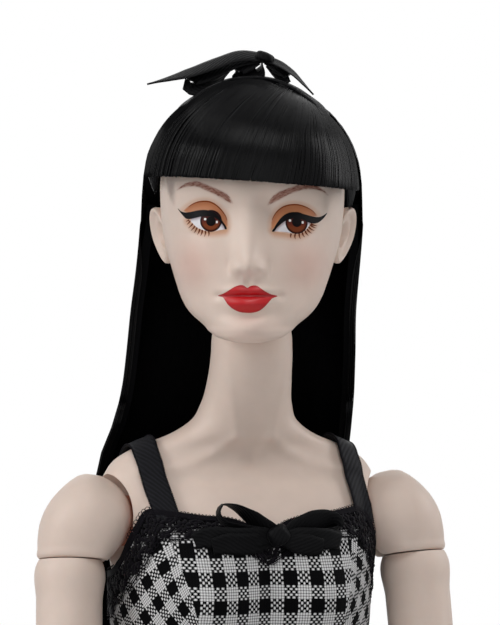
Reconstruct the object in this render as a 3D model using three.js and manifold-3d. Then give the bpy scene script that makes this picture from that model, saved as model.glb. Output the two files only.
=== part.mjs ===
// Jointed fashion doll in a one-piece gingham suit, about 406 mm tall.
// Millimetres, +Z up. The doll faces -Y and its soles rest on z = 0.
// Body parts are lofts of flattened rings. Balls, sockets, slots and bores are cut from them.
import * as THREE from 'three';
import { mergeVertices } from 'three/addons/utils/BufferGeometryUtils.js';
import { ConvexGeometry } from 'three/addons/geometries/ConvexGeometry.js';
import Module from 'manifold-3d';

// Heights above the soles, each standing on the one below it
const kneeHeight = 112;
const thighLength = 101;
const crotchDrop = 10;
const torsoLength = 149.5;
const shoulderShare = 0.712375;
const hipHeight = kneeHeight + thighLength;
const crotchHeight = hipHeight - crotchDrop;
const neckPivotHeight = crotchHeight + torsoLength;
const shoulderHeight = crotchHeight + shoulderShare * torsoLength;

// Body sizes
const torsoHalfWidth = 30;
const torsoHalfDepth = 20;
const neckForward = 10.5;
const neckRadius = 8.7;
const bustDepth = 6;
const bustOffset = 13.5;
const bustWidth = 8.5;
const bustDrop = 15.5;
const bustRise = 10;
const bustHeight = shoulderHeight - bustDrop;
const headHalfWidth = 20;
const headDepth = 22;
const headHeight = 53.7;
const chinDrop = 4.2;

// Resting pose, in degrees
const headTurn = -18;
const armSwing = -9;
const armSpread = 3.5;
const earTilt = -8;
const earFlare = 14;
const thumbSplay = -24;

// How far the whole doll stands forward of its axis, to centre it over its feet
const balance = 6;

// Fits
const clearance = 0.3;
const socketGap = 1.3;
const hipGap = 0.5;
const overrun = 30;
const weld = 1e-4;

// Shoulders and arms
const shoulderOffset = 35.5;
const shoulderSetback = -3;
const capRadius = 10.5;
const capCut = 8.2;
const armOffset = 2.2;
const armRadius = 7.9;
const elbowDrop = 58;
const elbowRadius = 6.2;
const elbowTongue = 4;
const elbowBend = 95;
const forearmRadius = 6.6;
const wristDrop = 48.5;
const raiseRange = 60;
const pegRadius = 1.6;
const pegLength = 18;
const flangeRadius = 3;
const flangeThickness = 1.4;
const pinRadius = 1.2;
const stemLength = 4;
const stemRadius = 1.5;
const stemFlange = 2.6;
const stemFlangeThickness = 1;

// Hands
const palmLength = 17;
const palmHalfWidth = 7;
const palmHalfThickness = 3;
const fingerLength = 18;
const fingerRadius = 1.6;

// Hips and legs
const hipOffset = 18.6;
const hipRadius = 15.2;
const hipForward = 85;
const hipBack = -15;
const hipOutward = 27;
const hipPegRadius = 2.4;
const kneeRadius = 9.4;
const kneeTongue = 6;
const kneeBend = 95;
const calfRadius = 9.8;
const ankleRadius = 5.2;
const ankleHeight = 24;
const kneeLine = 1;
const kneeInset = 4;
const soleThickness = 2.2;
const shoeWall = 0.8;
const footLength = 40;
const footHalfWidth = 8;
const footHeight = 17;
const heelSetback = 11;

// Neck hinge and head knob
const domeClearance = 0.4;
const knobRadius = 2.4;
const knobTongue = 3;
const knobHeight = 16;
const knobFlange = 4;
const nodRange = 12;

// Hair
const hairSideCover = 5.4;
const hairFrontCover = 3.5;
const hairCrownCover = 4;
const fringeRise = 31.3;
const hairThickness = 3.4;
const hairDrop = 90.5;
const backHairRise = 18.5;
const hairTuck = 7.5;
const hairSlopeShare = 0.45;
const hairCentreShare = -0.02;
const hairHalfWidth = headHalfWidth + hairSideCover;
const hairDepth = headDepth + hairFrontCover;
const crownTop = neckPivotHeight - chinDrop + headHeight + hairCrownCover;
const fringeHeight = neckPivotHeight + fringeRise;
const hairEndHeight = neckPivotHeight - hairDrop;
const backHairTop = neckPivotHeight + backHairRise;
const hairSpan = crownTop - backHairTop + hairTuck;

// Clothes and ribbons
const fabricGap = 0.4;
const fabricThickness = 0.6;
const laceThickness = 0.5;
const laceWidth = 5.2;
const laceRise = 1;
const strapOffset = 22.6;
const strapWidth = 4.8;
const strapRise = 2;
const armholeDrop = 16.5;
const armholeBow = 4;
const bustCentreDrop = 4;
const bustPeakRise = 0.5;
const suitBackDrop = 9.5;
const strapHeight = shoulderHeight + strapRise;
const armholeHeight = shoulderHeight - armholeDrop;
const bustCentreHeight = shoulderHeight - bustCentreDrop;
const bustPeakHeight = shoulderHeight + bustPeakRise;
const suitBackHeight = shoulderHeight - suitBackDrop;
const laceInner = fabricGap + fabricThickness + clearance;
const bustReachShare = 1.14;
const ribbonThickness = 0.8;
const headbandWidth = 3.6;
const headbandTilt = 31;
const bowRibbon = 5;
const headBowSpan = 36;
const bustBowSpan = 24;
const knotSize = 4;

// Facets
const torsoSides = 22;
const limbSides = 12;
const rodSides = 8;
const ballSides = 16;
const bluntSides = 8;
const fingerSides = 6;

// How square the ovals are: 2 is an ellipse
const squarenessShares = { torso: 2.2, head: 2.4, hair: 2.15, hand: 2.2, foot: 2.3, limb: 2 };

const sides = [{ name: 'left', sign: 1 }, { name: 'right', sign: -1 }];
const degrees = THREE.MathUtils.degToRad;
const capCentre = new THREE.Vector3(shoulderOffset, shoulderSetback, shoulderHeight);
const hipCentre = new THREE.Vector3(hipOffset, 0, hipHeight);
const neckPivot = new THREE.Vector3(0, -neckForward, neckPivotHeight);

const wasm = await Module();
wasm.setup();

// Solids from geometries and back

function solid(geometry) {
  const bare = geometry.clone();
  bare.deleteAttribute('normal');
  bare.deleteAttribute('uv');
  const merged = mergeVertices(bare, weld);
  return new wasm.Manifold(new wasm.Mesh({
    numProp: 3,
    vertProperties: new Float32Array(merged.attributes.position.array),
    triVerts: new Uint32Array(merged.index.array),
  }));
}

function geometryOf(body) {
  const mesh = body.getMesh();
  const geometry = new THREE.BufferGeometry();
  geometry.setAttribute('position', new THREE.BufferAttribute(new Float32Array(mesh.vertProperties), 3));
  geometry.setIndex(new THREE.BufferAttribute(new Uint32Array(mesh.triVerts), 1));
  geometry.computeVertexNormals();
  return geometry;
}

// The same shape for the other side of the body
function handed(geometry, side) {
  if (side.sign > 0) return geometry;
  const other = geometry.clone();
  other.scale(-1, 1, 1);
  const index = other.index.array;
  for (let i = 0; i < index.length; i += 3) {
    [index[i], index[i + 1]] = [index[i + 1], index[i]];
  }
  other.computeVertexNormals();
  return other;
}

function union(parts) {
  return parts.slice(1).reduce((whole, part) => whole.add(part), parts[0]);
}

// Rods and blocks

function rod(axis, radius, from, to, count = rodSides) {
  const geometry = new THREE.CylinderGeometry(radius, radius, Math.abs(to - from), count);
  if (axis === 'x') geometry.rotateZ(Math.PI / 2);
  if (axis === 'z') geometry.rotateX(Math.PI / 2);
  const middle = (from + to) / 2;
  geometry.translate(axis === 'x' ? middle : 0, axis === 'y' ? middle : 0, axis === 'z' ? middle : 0);
  return geometry;
}

function ball(radius, count = ballSides) {
  return new THREE.SphereGeometry(radius, count, count / 2);
}

// A faceted ball cut as a socket keeps its flats outside the round ball it holds
function socketBall(radius, count = ballSides) {
  return ball(radius / Math.cos(Math.PI / count) ** 2, count);
}

function block(width, depth, height) {
  return new THREE.BoxGeometry(width, depth, height);
}

// Lofts: a stack of rings, lowest first, each with its points anticlockwise seen from above.
// A curtain's rings run out along one face and back along the other, so its ends are strips.

function loft(rings, curtain = false) {
  const count = rings[0].length;
  const points = rings.flat();
  const faces = [];
  for (let k = 0; k + 1 < rings.length; k++) {
    for (let j = 0; j < count; j++) {
      const p = k * count + j;
      const q = k * count + (j + 1) % count;
      faces.push(p, q, q + count, p, q + count, p + count);
    }
  }
  const last = (rings.length - 1) * count;
  for (let j = 0; curtain && j + 1 < count / 2; j++) {
    const [a, b, c, d] = [j, j + 1, count - 2 - j, count - 1 - j];
    faces.push(a, c, b, a, d, c);
    faces.push(last + a, last + b, last + c, last + a, last + c, last + d);
  }
  const middleOf = (ring) => ring.reduce((sum, p) => sum.add(p), new THREE.Vector3()).divideScalar(count);
  const low = curtain ? 0 : points.push(middleOf(rings[0])) - 1;
  const high = curtain ? 0 : points.push(middleOf(rings.at(-1))) - 1;
  for (let j = 0; !curtain && j < count; j++) {
    faces.push(low, (j + 1) % count, j);
    faces.push(high, last + j, last + (j + 1) % count);
  }
  const geometry = new THREE.BufferGeometry().setFromPoints(points);
  geometry.setIndex(faces);
  geometry.computeVertexNormals();
  return geometry;
}

// Every vertex moved out along its normal
function grown(geometry, distance) {
  const bigger = geometry.clone();
  bigger.computeVertexNormals();
  const { position, normal } = bigger.attributes;
  for (let i = 0; i < position.count; i++) {
    const x = position.getX(i) + normal.getX(i) * distance;
    const y = position.getY(i) + normal.getY(i) * distance;
    const z = position.getZ(i) + normal.getZ(i) * distance;
    position.setXYZ(i, x, y, z);
  }
  return bigger;
}

// An oval ring with its own half width, front depth and back depth
function ovalRing(z, half, front, back, centreX, centreY, count, squareness) {
  const ring = [];
  for (let j = 0; j < count; j++) {
    const angle = (j / count) * 2 * Math.PI;
    const [c, s] = [Math.cos(angle), Math.sin(angle)];
    const x = half * Math.sign(c) * Math.abs(c) ** (2 / squareness);
    const depth = s < 0 ? front : back;
    const y = depth * Math.sign(s) * Math.abs(s) ** (2 / squareness);
    ring.push(new THREE.Vector3(centreX + x, centreY + y, z));
  }
  return ring;
}

// A limb from its rows: drop share, half width share, front share, back share, forward shift share.
// Its axis runs inwards by the inset over its length.
function limb(shares, drop, radius, count = limbSides, inset = 0) {
  return loft([...shares].reverse().map(([z, half, front, back, shift]) => (
    ovalRing(-z * drop, half * radius, front * radius, back * radius,
      -z * z * inset, -shift * radius, count, squarenessShares.limb))));
}

// A wedge-shaped slot across the x axis, with a round pocket at the pivot.
// Angles turn from -z towards -y, and reach is how far the slot runs out.
function slotAcrossX(width, pocket, halfShaft, fromAngle, toAngle, reach) {
  const outline = new THREE.Shape();
  const [a, b] = [degrees(fromAngle), degrees(toAngle)];
  const start = Math.asin(halfShaft / pocket);
  const far = Math.hypot(reach, halfShaft);
  const spread = Math.atan2(halfShaft, reach);
  outline.moveTo(far * Math.cos(a - spread), far * Math.sin(a - spread));
  outline.absarc(0, 0, far, a - spread, b + spread, false);
  outline.absarc(0, 0, pocket, b + start, a - start + 2 * Math.PI, false);
  const options = { depth: width, bevelEnabled: false, curveSegments: limbSides };
  const geometry = new THREE.ExtrudeGeometry(outline, options);
  geometry.translate(0, 0, -width / 2);
  const axes = new THREE.Matrix4().makeBasis(
    new THREE.Vector3(0, 0, -1), new THREE.Vector3(0, -1, 0), new THREE.Vector3(-1, 0, 0));
  return geometry.applyMatrix4(axes);
}

// The same slot across the y axis, turning from -x up towards +z
function slotAcrossY(width, pocket, halfShaft, fromAngle, toAngle, reach) {
  const geometry = slotAcrossX(width, pocket, halfShaft, fromAngle, toAngle, reach);
  const axes = new THREE.Matrix4().makeBasis(
    new THREE.Vector3(0, -1, 0), new THREE.Vector3(0, 0, -1), new THREE.Vector3(1, 0, 0));
  return geometry.applyMatrix4(axes);
}

// Torso with its neck

// Height share, half width share, front share, back share, lean share
const torsoShares = [
  [0.000, 0.40, 0.40, 0.55, 0.00],
  [0.020, 0.73, 0.62, 0.80, 0.00],
  [0.054, 1.00, 0.80, 1.00, 0.00],
  [0.100, 1.10, 0.93, 1.13, 0.00],
  [0.154, 1.10, 0.95, 1.10, 0.00],
  [0.221, 1.00, 0.93, 0.93, 0.00],
  [0.294, 0.85, 0.88, 0.73, 0.00],
  [0.368, 0.78, 0.85, 0.65, 0.00],
  [0.502, 0.88, 1.03, 0.75, 0.00],
  [0.562, 0.93, 1.13, 0.83, 0.00],
  [0.622, 0.94, 1.17, 0.87, 0.00],
  [0.676, 0.98, 1.08, 0.89, 0.00],
  [0.722, 1.05, 0.90, 0.87, 0.00],
  [0.756, 1.04, 0.73, 0.80, 0.00],
  [0.783, 1.00, 0.58, 0.67, 0.00],
  [0.803, 0.92, 0.51, 0.54, 0.00],
  [0.820, 0.77, 0.49, 0.49, 0.06],
  [0.836, 0.56, 0.49, 0.48, 0.19],
  [0.856, 0.40, 0.47, 0.46, 0.35],
  [0.883, 0.33, 0.455, 0.455, 0.55],
  [0.916, 0.303, 0.445, 0.445, 0.78],
  [0.957, 0.290, 0.44, 0.44, 0.95],
  [0.980, 0.286, 0.43, 0.43, 0.975],
  [1.000, 0.272, 0.41, 0.41, 1.00],
];

function torsoForm() {
  const span = neckPivotHeight - crotchHeight;
  const geometry = loft(torsoShares.map(([z, half, front, back, lean]) => ovalRing(
    crotchHeight + z * span, half * torsoHalfWidth, front * torsoHalfDepth, back * torsoHalfDepth,
    0, -lean * neckForward, torsoSides, squarenessShares.torso)));
  const { position } = geometry.attributes;
  for (let i = 0; i < position.count; i++) {
    const [x, y, z] = [position.getX(i), position.getY(i), position.getZ(i)];
    const across = Math.exp(-(((Math.abs(x) - bustOffset) / bustWidth) ** 2));
    const up = Math.exp(-(((z - bustHeight) / bustRise) ** 2));
    if (y < 0) position.setY(i, y - bustDepth * across * up);
  }
  geometry.computeVertexNormals();
  return geometry;
}

// The space that a thigh sweeps below its ball, as one convex body
function thighSweep(radius, side) {
  const points = [];
  const reach = overrun + radius;
  const wide = radius / Math.cos(Math.PI / limbSides);
  const shell = ball(wide, limbSides).attributes.position;
  for (let i = 0; i < shell.count; i++) points.push(new THREE.Vector3().fromBufferAttribute(shell, i));
  for (const swing of [hipBack, hipForward]) {
    for (const spread of [0, hipOutward]) {
      for (let j = 0; j < limbSides; j++) {
        const angle = (j / limbSides) * 2 * Math.PI;
        const point = new THREE.Vector3(wide * Math.cos(angle), wide * Math.sin(angle), -reach);
        point.applyAxisAngle(new THREE.Vector3(0, 1, 0), degrees(-spread));
        points.push(point.applyAxisAngle(new THREE.Vector3(-1, 0, 0), degrees(swing)));
      }
    }
  }
  const hull = new ConvexGeometry(points);
  hull.translate(hipCentre.x, hipCentre.y, hipCentre.z);
  return handed(mergeVertices(hull, weld), side);
}

function placed(geometry, centre, side) {
  const copy = handed(geometry.index ? geometry : mergeVertices(geometry, weld), side).clone();
  return copy.translate(side.sign * centre.x, centre.y, centre.z);
}

// Bore and wider end pocket for a peg that runs inwards from its joint's centre
function pegBore(radius, length, collar) {
  const parts = [solid(rod('x', radius + clearance, -length, 0))];
  if (collar) {
    const pocket = flangeThickness + 2 * clearance;
    parts.push(solid(rod('x', collar + clearance, -length, -length + pocket)));
  }
  return geometryOf(union(parts));
}

function torso() {
  const dome = ball(neckRadius).rotateX(Math.PI / 2);
  dome.translate(neckPivot.x, neckPivot.y, neckPivot.z);
  let body = solid(torsoForm()).add(solid(dome));
  for (const side of sides) {
    body = body.subtract(solid(placed(ball(capRadius + socketGap), capCentre, side)));
    const pegSpace = pegBore(pegRadius, pegLength + clearance, flangeRadius);
    body = body.subtract(solid(placed(pegSpace, capCentre, side)));
    body = body.subtract(solid(thighSweep(hipRadius + hipGap, side)));
    body = body.subtract(solid(placed(pegBore(hipPegRadius, hipOffset), hipCentre, side)));
  }
  const slot = slotAcrossX(knobTongue + 2 * clearance, knobRadius + 2 * clearance, knobRadius + clearance,
    180 - nodRange, 180 + nodRange, neckRadius + clearance);
  slot.translate(neckPivot.x, neckPivot.y, neckPivot.z);
  const bore = rod('x', pinRadius + clearance, -neckRadius * 0.65, neckRadius * 0.65);
  bore.translate(neckPivot.x, neckPivot.y, neckPivot.z);
  return geometryOf(body.subtract(solid(slot)).subtract(solid(bore)));
}

// Neck knob: a tongue hinged in the neck, with a flanged post that the head turns on
function neckPost() {
  const tongue = solid(rod('z', knobRadius, 0, neckRadius)).intersect(
    solid(block(knobTongue, overrun, overrun))).add(
    solid(rod('x', knobRadius, -knobTongue / 2, knobTongue / 2)));
  const pin = solid(rod('x', pinRadius, -neckRadius * 0.6, neckRadius * 0.6));
  const shaft = solid(rod('z', knobRadius, neckRadius + clearance, knobHeight));
  const bridge = solid(rod('z', knobRadius, neckRadius / 2, neckRadius + 2 * clearance)).intersect(
    solid(block(knobTongue, overrun, overrun)));
  const flange = solid(rod('z', knobFlange, knobHeight - flangeThickness, knobHeight));
  return geometryOf(union([tongue, pin, bridge, shaft, flange]));
}

// Head: rings from the chin to the skull's top, then the features of the face

// Height share, half width share, front share, back share
const headShares = [
  [0.002, 0.13, 0.89, -0.66],
  [0.019, 0.31, 0.945, -0.45],
  [0.043, 0.42, 0.965, -0.25],
  [0.071, 0.495, 0.965, 0.00],
  [0.112, 0.625, 0.95, 0.24],
  [0.132, 0.675, 0.945, 0.33],
  [0.160, 0.725, 0.945, 0.45],
  [0.181, 0.755, 0.945, 0.53],
  [0.194, 0.770, 0.945, 0.57],
  [0.212, 0.790, 0.95, 0.62],
  [0.236, 0.810, 0.955, 0.68],
  [0.281, 0.850, 0.965, 0.77],
  [0.300, 0.865, 0.965, 0.80],
  [0.318, 0.880, 0.965, 0.83],
  [0.348, 0.905, 0.965, 0.86],
  [0.432, 0.960, 0.955, 0.95],
  [0.479, 0.978, 0.95, 0.98],
  [0.525, 0.990, 0.955, 1.01],
  [0.628, 1.000, 0.965, 1.04],
  [0.683, 0.995, 0.945, 1.03],
  [0.749, 0.965, 0.875, 1.00],
  [0.814, 0.885, 0.77, 0.90],
  [0.870, 0.770, 0.625, 0.77],
  [0.925, 0.600, 0.43, 0.58],
  [0.970, 0.390, 0.20, 0.36],
  [0.996, 0.170, 0.02, 0.16],
];
const acrossShares = [0, 0.055, 0.11, 0.18, 0.26, 0.36, 0.48, 0.6, 0.73, 0.85, 0.95];
const backSteps = 6;

// Features: height, offset and size shares of the head, and how far they stand out
const features = [
  { rise: 0.475, side: 0, wide: 0.075, tall: 0.115, outShare: 0.1 },
  { rise: 0.322, side: 0, wide: 0.115, tall: 0.055, outShare: 0.2 },
  { rise: 0.300, side: 0.155, wide: 0.065, tall: 0.028, outShare: 0.0727 },
  { rise: 0.510, side: 0.49, wide: 0.25, tall: 0.055, outShare: -0.0773 },
  { rise: 0.497, side: 0.47, wide: 0.18, tall: 0.040, outShare: 0.0409 },
  { rise: 0.330, side: 0.55, wide: 0.22, tall: 0.080, outShare: 0.0318 },
  { rise: 0.190, side: 0, wide: 0.34, tall: 0.085, outShare: 0.0409 },
  { rise: 0.213, side: 0.09, wide: 0.17, tall: 0.016, outShare: 0.0409 },
  { rise: 0.160, side: 0, wide: 0.20, tall: 0.021, outShare: 0.0591 },
  { rise: 0.192, side: 0, wide: 0.30, tall: 0.010, outShare: -0.0364 },
  { rise: 0.113, side: 0, wide: 0.20, tall: 0.020, outShare: -0.0364 },
  { rise: 0.058, side: 0, wide: 0.20, tall: 0.040, outShare: 0.0545 },
];

function headRing([rise, half, front, back]) {
  const z = -chinDrop + rise * headHeight;
  const quarter = acrossShares.map((share) => [share, Math.sqrt(1 - share ** squarenessShares.head)]);
  const point = (x, y) => new THREE.Vector3(x * half * headHalfWidth, y * headDepth, z);
  const middle = (front - Math.max(back, 0)) / -2 + Math.min(back, 0) / 2;
  const ring = [];
  for (const [x, y] of quarter) ring.push(point(x, middle - y * (front + middle)));
  ring.push(point(1, middle));
  for (let j = 1; j < 2 * backSteps; j++) {
    const angle = (j / (2 * backSteps)) * Math.PI;
    ring.push(point(Math.cos(angle), middle + Math.sin(angle) * (back - middle)));
  }
  ring.push(point(-1, middle));
  for (const [x, y] of quarter.slice(1).reverse()) ring.push(point(-x, middle - y * (front + middle)));
  return ring;
}

function headForm() {
  return loft(headShares.map(headRing));
}

function face() {
  const geometry = headForm();
  const { position } = geometry.attributes;
  for (let i = 0; i < position.count; i++) {
    const [x, y, z] = [position.getX(i), position.getY(i), position.getZ(i)];
    if (y > -headDepth / 3) continue;
    const across = Math.abs(x) / headHalfWidth;
    const rise = (z + chinDrop) / headHeight;
    let out = 0;
    for (const mark of features) {
      const sideways = ((across - mark.side) / mark.wide) ** 2;
      const upwards = ((rise - mark.rise) / mark.tall) ** 2;
      out += mark.outShare * headDepth * Math.exp(-sideways - upwards);
    }
    position.setY(i, y - out);
  }
  geometry.computeVertexNormals();
  return geometry;
}

function ear(side) {
  const outer = new THREE.SphereGeometry(1, bluntSides, bluntSides);
  outer.scale(headHalfWidth * 0.11, headDepth * 0.17, headHeight * 0.118);
  outer.rotateX(degrees(earTilt));
  const hollow = new THREE.SphereGeometry(1, fingerSides, fingerSides - 1);
  hollow.scale(headHalfWidth * 0.05, headDepth * 0.09, headHeight * 0.065);
  hollow.translate(headHalfWidth * 0.1, -headDepth * 0.02, headHeight * 0.01);
  const shape = geometryOf(solid(outer).subtract(solid(hollow)));
  shape.rotateZ(degrees(earFlare));
  return placed(shape, new THREE.Vector3(headHalfWidth * 0.99, headDepth * 0.1, headHeight * 0.355), side);
}

function head() {
  let body = solid(face());
  for (const side of sides) body = body.add(solid(ear(side)));
  const dome = solid(socketBall(neckRadius + domeClearance).rotateX(Math.PI / 2));
  const wide = (neckRadius + domeClearance) / Math.cos(Math.PI / ballSides);
  const mouth = wide + chinDrop * Math.tan(degrees(2 * nodRange));
  const flare = new THREE.CylinderGeometry(wide, mouth, 2 * chinDrop, ballSides);
  flare.rotateX(Math.PI / 2);
  flare.translate(0, 0, -chinDrop);
  const shaft = solid(rod('z', knobRadius + clearance, 0, knobHeight));
  const pocketLow = knobHeight - flangeThickness - clearance;
  const pocket = solid(rod('z', knobFlange + clearance, pocketLow, knobHeight + clearance));
  return geometryOf(body.subtract(union([dome, solid(flare), shaft, pocket])));
}

// Hair in the head's frame, from its outline seen from the front

// Height share below the crown's top, half width share, depth share
const hairShares = [
  [0.760, 0.985, 0.985],
  [0.520, 0.985, 1.000],
  [0.430, 0.945, 0.975],
  [0.340, 0.870, 0.915],
  [0.250, 0.755, 0.810],
  [0.180, 0.640, 0.690],
  [0.110, 0.500, 0.540],
  [0.055, 0.350, 0.380],
  [0.018, 0.190, 0.200],
];

function hairForm() {
  const rings = hairShares.map(([drop, half, depth]) => ovalRing(
    crownTop - neckPivotHeight - drop * hairSpan, half * hairHalfWidth,
    depth * hairDepth, depth * hairDepth,
    0, hairCentreShare * headDepth, torsoSides, squarenessShares.hair));
  return loft(rings);
}

// Everything below a plane that falls from the forehead to the nape
function belowHairline(lift) {
  const size = 4 * hairDepth;
  const cutter = block(size, size, size);
  cutter.translate(0, 0, -size / 2);
  cutter.rotateX(Math.atan(-hairSlopeShare));
  cutter.translate(0, hairDepth, backHairTop - neckPivotHeight + lift);
  return solid(cutter);
}

function hairShell() {
  return solid(hairForm()).subtract(solid(grown(headForm(), fabricGap)));
}

function hairCrown() {
  return geometryOf(hairShell().subtract(belowHairline(0)));
}

function hairFringe() {
  const size = 4 * hairDepth;
  const keep = block(size, size, size);
  keep.translate(0, -size / 2 - hairDepth / 6, fringeHeight - neckPivotHeight + size / 2);
  return geometryOf(hairShell().intersect(belowHairline(-clearance)).intersect(solid(keep)));
}

// Long hair: a curtain round the back, lowest ring first.
// Height, half width, back and edge shares, and how far it has turned and leant with the head
const curtainShares = [
  [0.00, 1.06, 0.94, 0.62, 0],
  [0.18, 1.10, 0.95, 0.60, 0],
  [0.35, 1.12, 0.96, 0.60, 0],
  [0.46, 1.14, 0.95, 0.58, 0],
  [0.52, 1.13, 0.94, 0.54, 0],
  [0.57, 1.11, 0.94, 0.46, 0.1],
  [0.63, 1.05, 0.95, 0.34, 0.3],
  [0.70, 1.01, 0.97, 0.30, 0.6],
  [0.79, 0.99, 0.99, 0.30, 0.9],
  [0.88, 0.985, 1.00, 0.30, 1],
  [1.00, 0.985, 1.00, 0.30, 1],
];
const curtainSteps = 7;

function hairLength() {
  const span = backHairTop - hairEndHeight;
  const up = new THREE.Vector3(0, 0, 1);
  return loft(curtainShares.map(([rise, half, back, edge, turned], level) => {
    const ring = [];
    const atTop = level === curtainShares.length - 1;
    for (const inset of [0, hairThickness]) {
      const [w, b, e] = [half * hairHalfWidth - inset, back * hairDepth - inset, edge * hairDepth];
      const arc = [];
      for (let j = 0; j <= 2 * curtainSteps; j++) {
        const angle = (j / (2 * curtainSteps)) * Math.PI;
        const y = e + (b - e) * Math.sin(angle) ** 0.8;
        const slope = atTop ? hairSlopeShare * (hairDepth - y) - 2 * clearance : 0;
        arc.push(new THREE.Vector3(w * Math.cos(angle), y, hairEndHeight + rise * span + slope));
      }
      ring.push(...(inset ? arc.reverse() : arc));
    }
    const twist = degrees(headTurn * turned);
    return ring.map((p) => p.applyAxisAngle(up, twist).setY(p.y - neckForward * turned));
  }), true);
}

// A ribbon over the crown, between a strip of its surface and the next
function headband() {
  const outer = solid(grown(hairForm(), clearance + ribbonThickness));
  const inner = solid(grown(hairForm(), clearance));
  const size = 4 * hairDepth;
  const strip = block(size, headbandWidth, size);
  strip.translate(0, 0, size / 2);
  strip.rotateX(degrees(-headbandTilt));
  strip.translate(0, -hairDepth * 0.68, hairSpan * 0.7);
  return geometryOf(outer.subtract(inner).intersect(solid(strip)));
}

// A bow's loops and tails as one bent ribbon, seen from the front
function bow(span, loopRise, tailDrop) {
  const half = span / 2;
  const outline = new THREE.Shape();
  outline.moveTo(0, -ribbonThickness);
  outline.quadraticCurveTo(half * 0.4, -loopRise * 0.6, half * 0.72, -tailDrop);
  outline.lineTo(half * 0.86, -tailDrop + ribbonThickness);
  outline.quadraticCurveTo(half * 0.6, -loopRise * 0.4, half * 0.5, -loopRise * 0.25);
  outline.quadraticCurveTo(half, -loopRise * 0.3, half, loopRise * 0.3);
  outline.quadraticCurveTo(half * 0.8, loopRise, 0, ribbonThickness);
  outline.quadraticCurveTo(-half * 0.8, loopRise, -half, loopRise * 0.3);
  outline.quadraticCurveTo(-half, -loopRise * 0.3, -half * 0.5, -loopRise * 0.25);
  outline.quadraticCurveTo(-half * 0.6, -loopRise * 0.4, -half * 0.86, -tailDrop + ribbonThickness);
  outline.lineTo(-half * 0.72, -tailDrop);
  outline.quadraticCurveTo(-half * 0.4, -loopRise * 0.6, 0, -ribbonThickness);
  for (const sign of [1, -1]) {
    const gap = new THREE.Path();
    gap.moveTo(sign * half * 0.3, 0);
    gap.quadraticCurveTo(sign * half * 0.6, loopRise * 0.45, sign * half * 0.86, loopRise * 0.22);
    gap.quadraticCurveTo(sign * half * 0.8, -loopRise * 0.12, sign * half * 0.3, 0);
    outline.holes.push(gap);
  }
  const options = { depth: bowRibbon, bevelEnabled: false, curveSegments: 5 };
  const geometry = new THREE.ExtrudeGeometry(outline, options);
  geometry.translate(0, 0, -bowRibbon / 2);
  geometry.rotateX(Math.PI / 2);
  return mergeVertices(geometry, weld);
}

function cutForKnot(geometry) {
  const space = block(knotSize + 2 * clearance, 2 * bowRibbon, 2 * knotSize);
  const thin = block(knotSize + 2 * clearance, bowRibbon - 2 * ribbonThickness, ribbonThickness);
  return geometryOf(solid(geometry).subtract(solid(space)).add(solid(geometry).intersect(solid(thin))));
}

function knot() {
  const wrap = block(knotSize, bowRibbon + ribbonThickness, knotSize);
  const inside = block(2 * knotSize, bowRibbon - 2 * ribbonThickness + 2 * clearance,
    ribbonThickness + 2 * clearance);
  return geometryOf(solid(wrap).subtract(solid(inside)));
}

// A piece trimmed at its back to lie on the form behind it
function seated(geometry, place, form) {
  const there = geometry.clone().translate(place.x, place.y, place.z);
  const trimmed = geometryOf(solid(there).subtract(solid(form)));
  return trimmed.translate(-place.x, -place.y, -place.z);
}

// Suit: a skin over the torso between its leg openings and its neckline

// The sweetheart line's height above the bust, seen from the front, as it runs out to the arm
function neckline(lift) {
  const far = 2 * shoulderOffset;
  const top = crownTop;
  const outline = new THREE.Shape();
  outline.moveTo(0, bustCentreHeight + lift);
  const peak = bustPeakHeight + lift;
  outline.quadraticCurveTo(strapOffset * 0.2, peak, strapOffset * 0.55, peak);
  const [armhole, brow] = [armholeHeight + lift, strapHeight + lift];
  outline.lineTo(strapOffset * 1.04, brow);
  outline.quadraticCurveTo(torsoHalfWidth * 0.955, brow - armholeBow, torsoHalfWidth, armhole);
  outline.lineTo(far, armholeHeight + lift);
  outline.lineTo(far, top);
  outline.lineTo(-far, top);
  outline.lineTo(-far, armholeHeight + lift);
  outline.lineTo(-torsoHalfWidth, armholeHeight + lift);
  outline.quadraticCurveTo(-torsoHalfWidth * 0.955, brow - armholeBow, -strapOffset * 1.04, brow);
  outline.lineTo(-strapOffset * 0.55, bustPeakHeight + lift);
  outline.quadraticCurveTo(-strapOffset * 0.2, bustPeakHeight + lift, 0, bustCentreHeight + lift);
  return throughY(outline, -2 * overrun, 0);
}

function backLine(lift) {
  const far = 2 * shoulderOffset;
  const outline = new THREE.Shape();
  outline.moveTo(-far, armholeHeight + lift);
  outline.lineTo(-torsoHalfWidth, armholeHeight + lift);
  outline.quadraticCurveTo(-strapOffset, suitBackHeight + lift, 0, suitBackHeight + lift);
  outline.quadraticCurveTo(strapOffset, suitBackHeight + lift, torsoHalfWidth, armholeHeight + lift);
  outline.lineTo(far, armholeHeight + lift);
  outline.lineTo(far, crownTop);
  outline.lineTo(-far, crownTop);
  return throughY(outline, 0, 2 * overrun);
}

// An outline in x and z, pushed through the body along y
function throughY(outline, from, to) {
  const options = { depth: to - from, bevelEnabled: false, curveSegments: 6 };
  const geometry = new THREE.ExtrudeGeometry(outline, options);
  geometry.rotateX(Math.PI / 2);
  geometry.translate(0, to, 0);
  return solid(geometry);
}

function aboveNeckline(lift) {
  return neckline(lift).add(backLine(lift));
}

function torsoShell(from, to) {
  const form = torsoForm();
  return solid(grown(form, to)).subtract(solid(grown(form, from)));
}

function suit() {
  let body = torsoShell(fabricGap, fabricGap + fabricThickness).subtract(aboveNeckline(0));
  for (const side of sides) body = body.subtract(solid(thighSweep(hipRadius + hipGap, side)));
  return geometryOf(body);
}

function necklineLace() {
  const shell = torsoShell(laceInner, laceInner + laceThickness);
  return geometryOf(shell.subtract(aboveNeckline(laceRise)).intersect(aboveNeckline(-laceWidth)));
}

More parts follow.
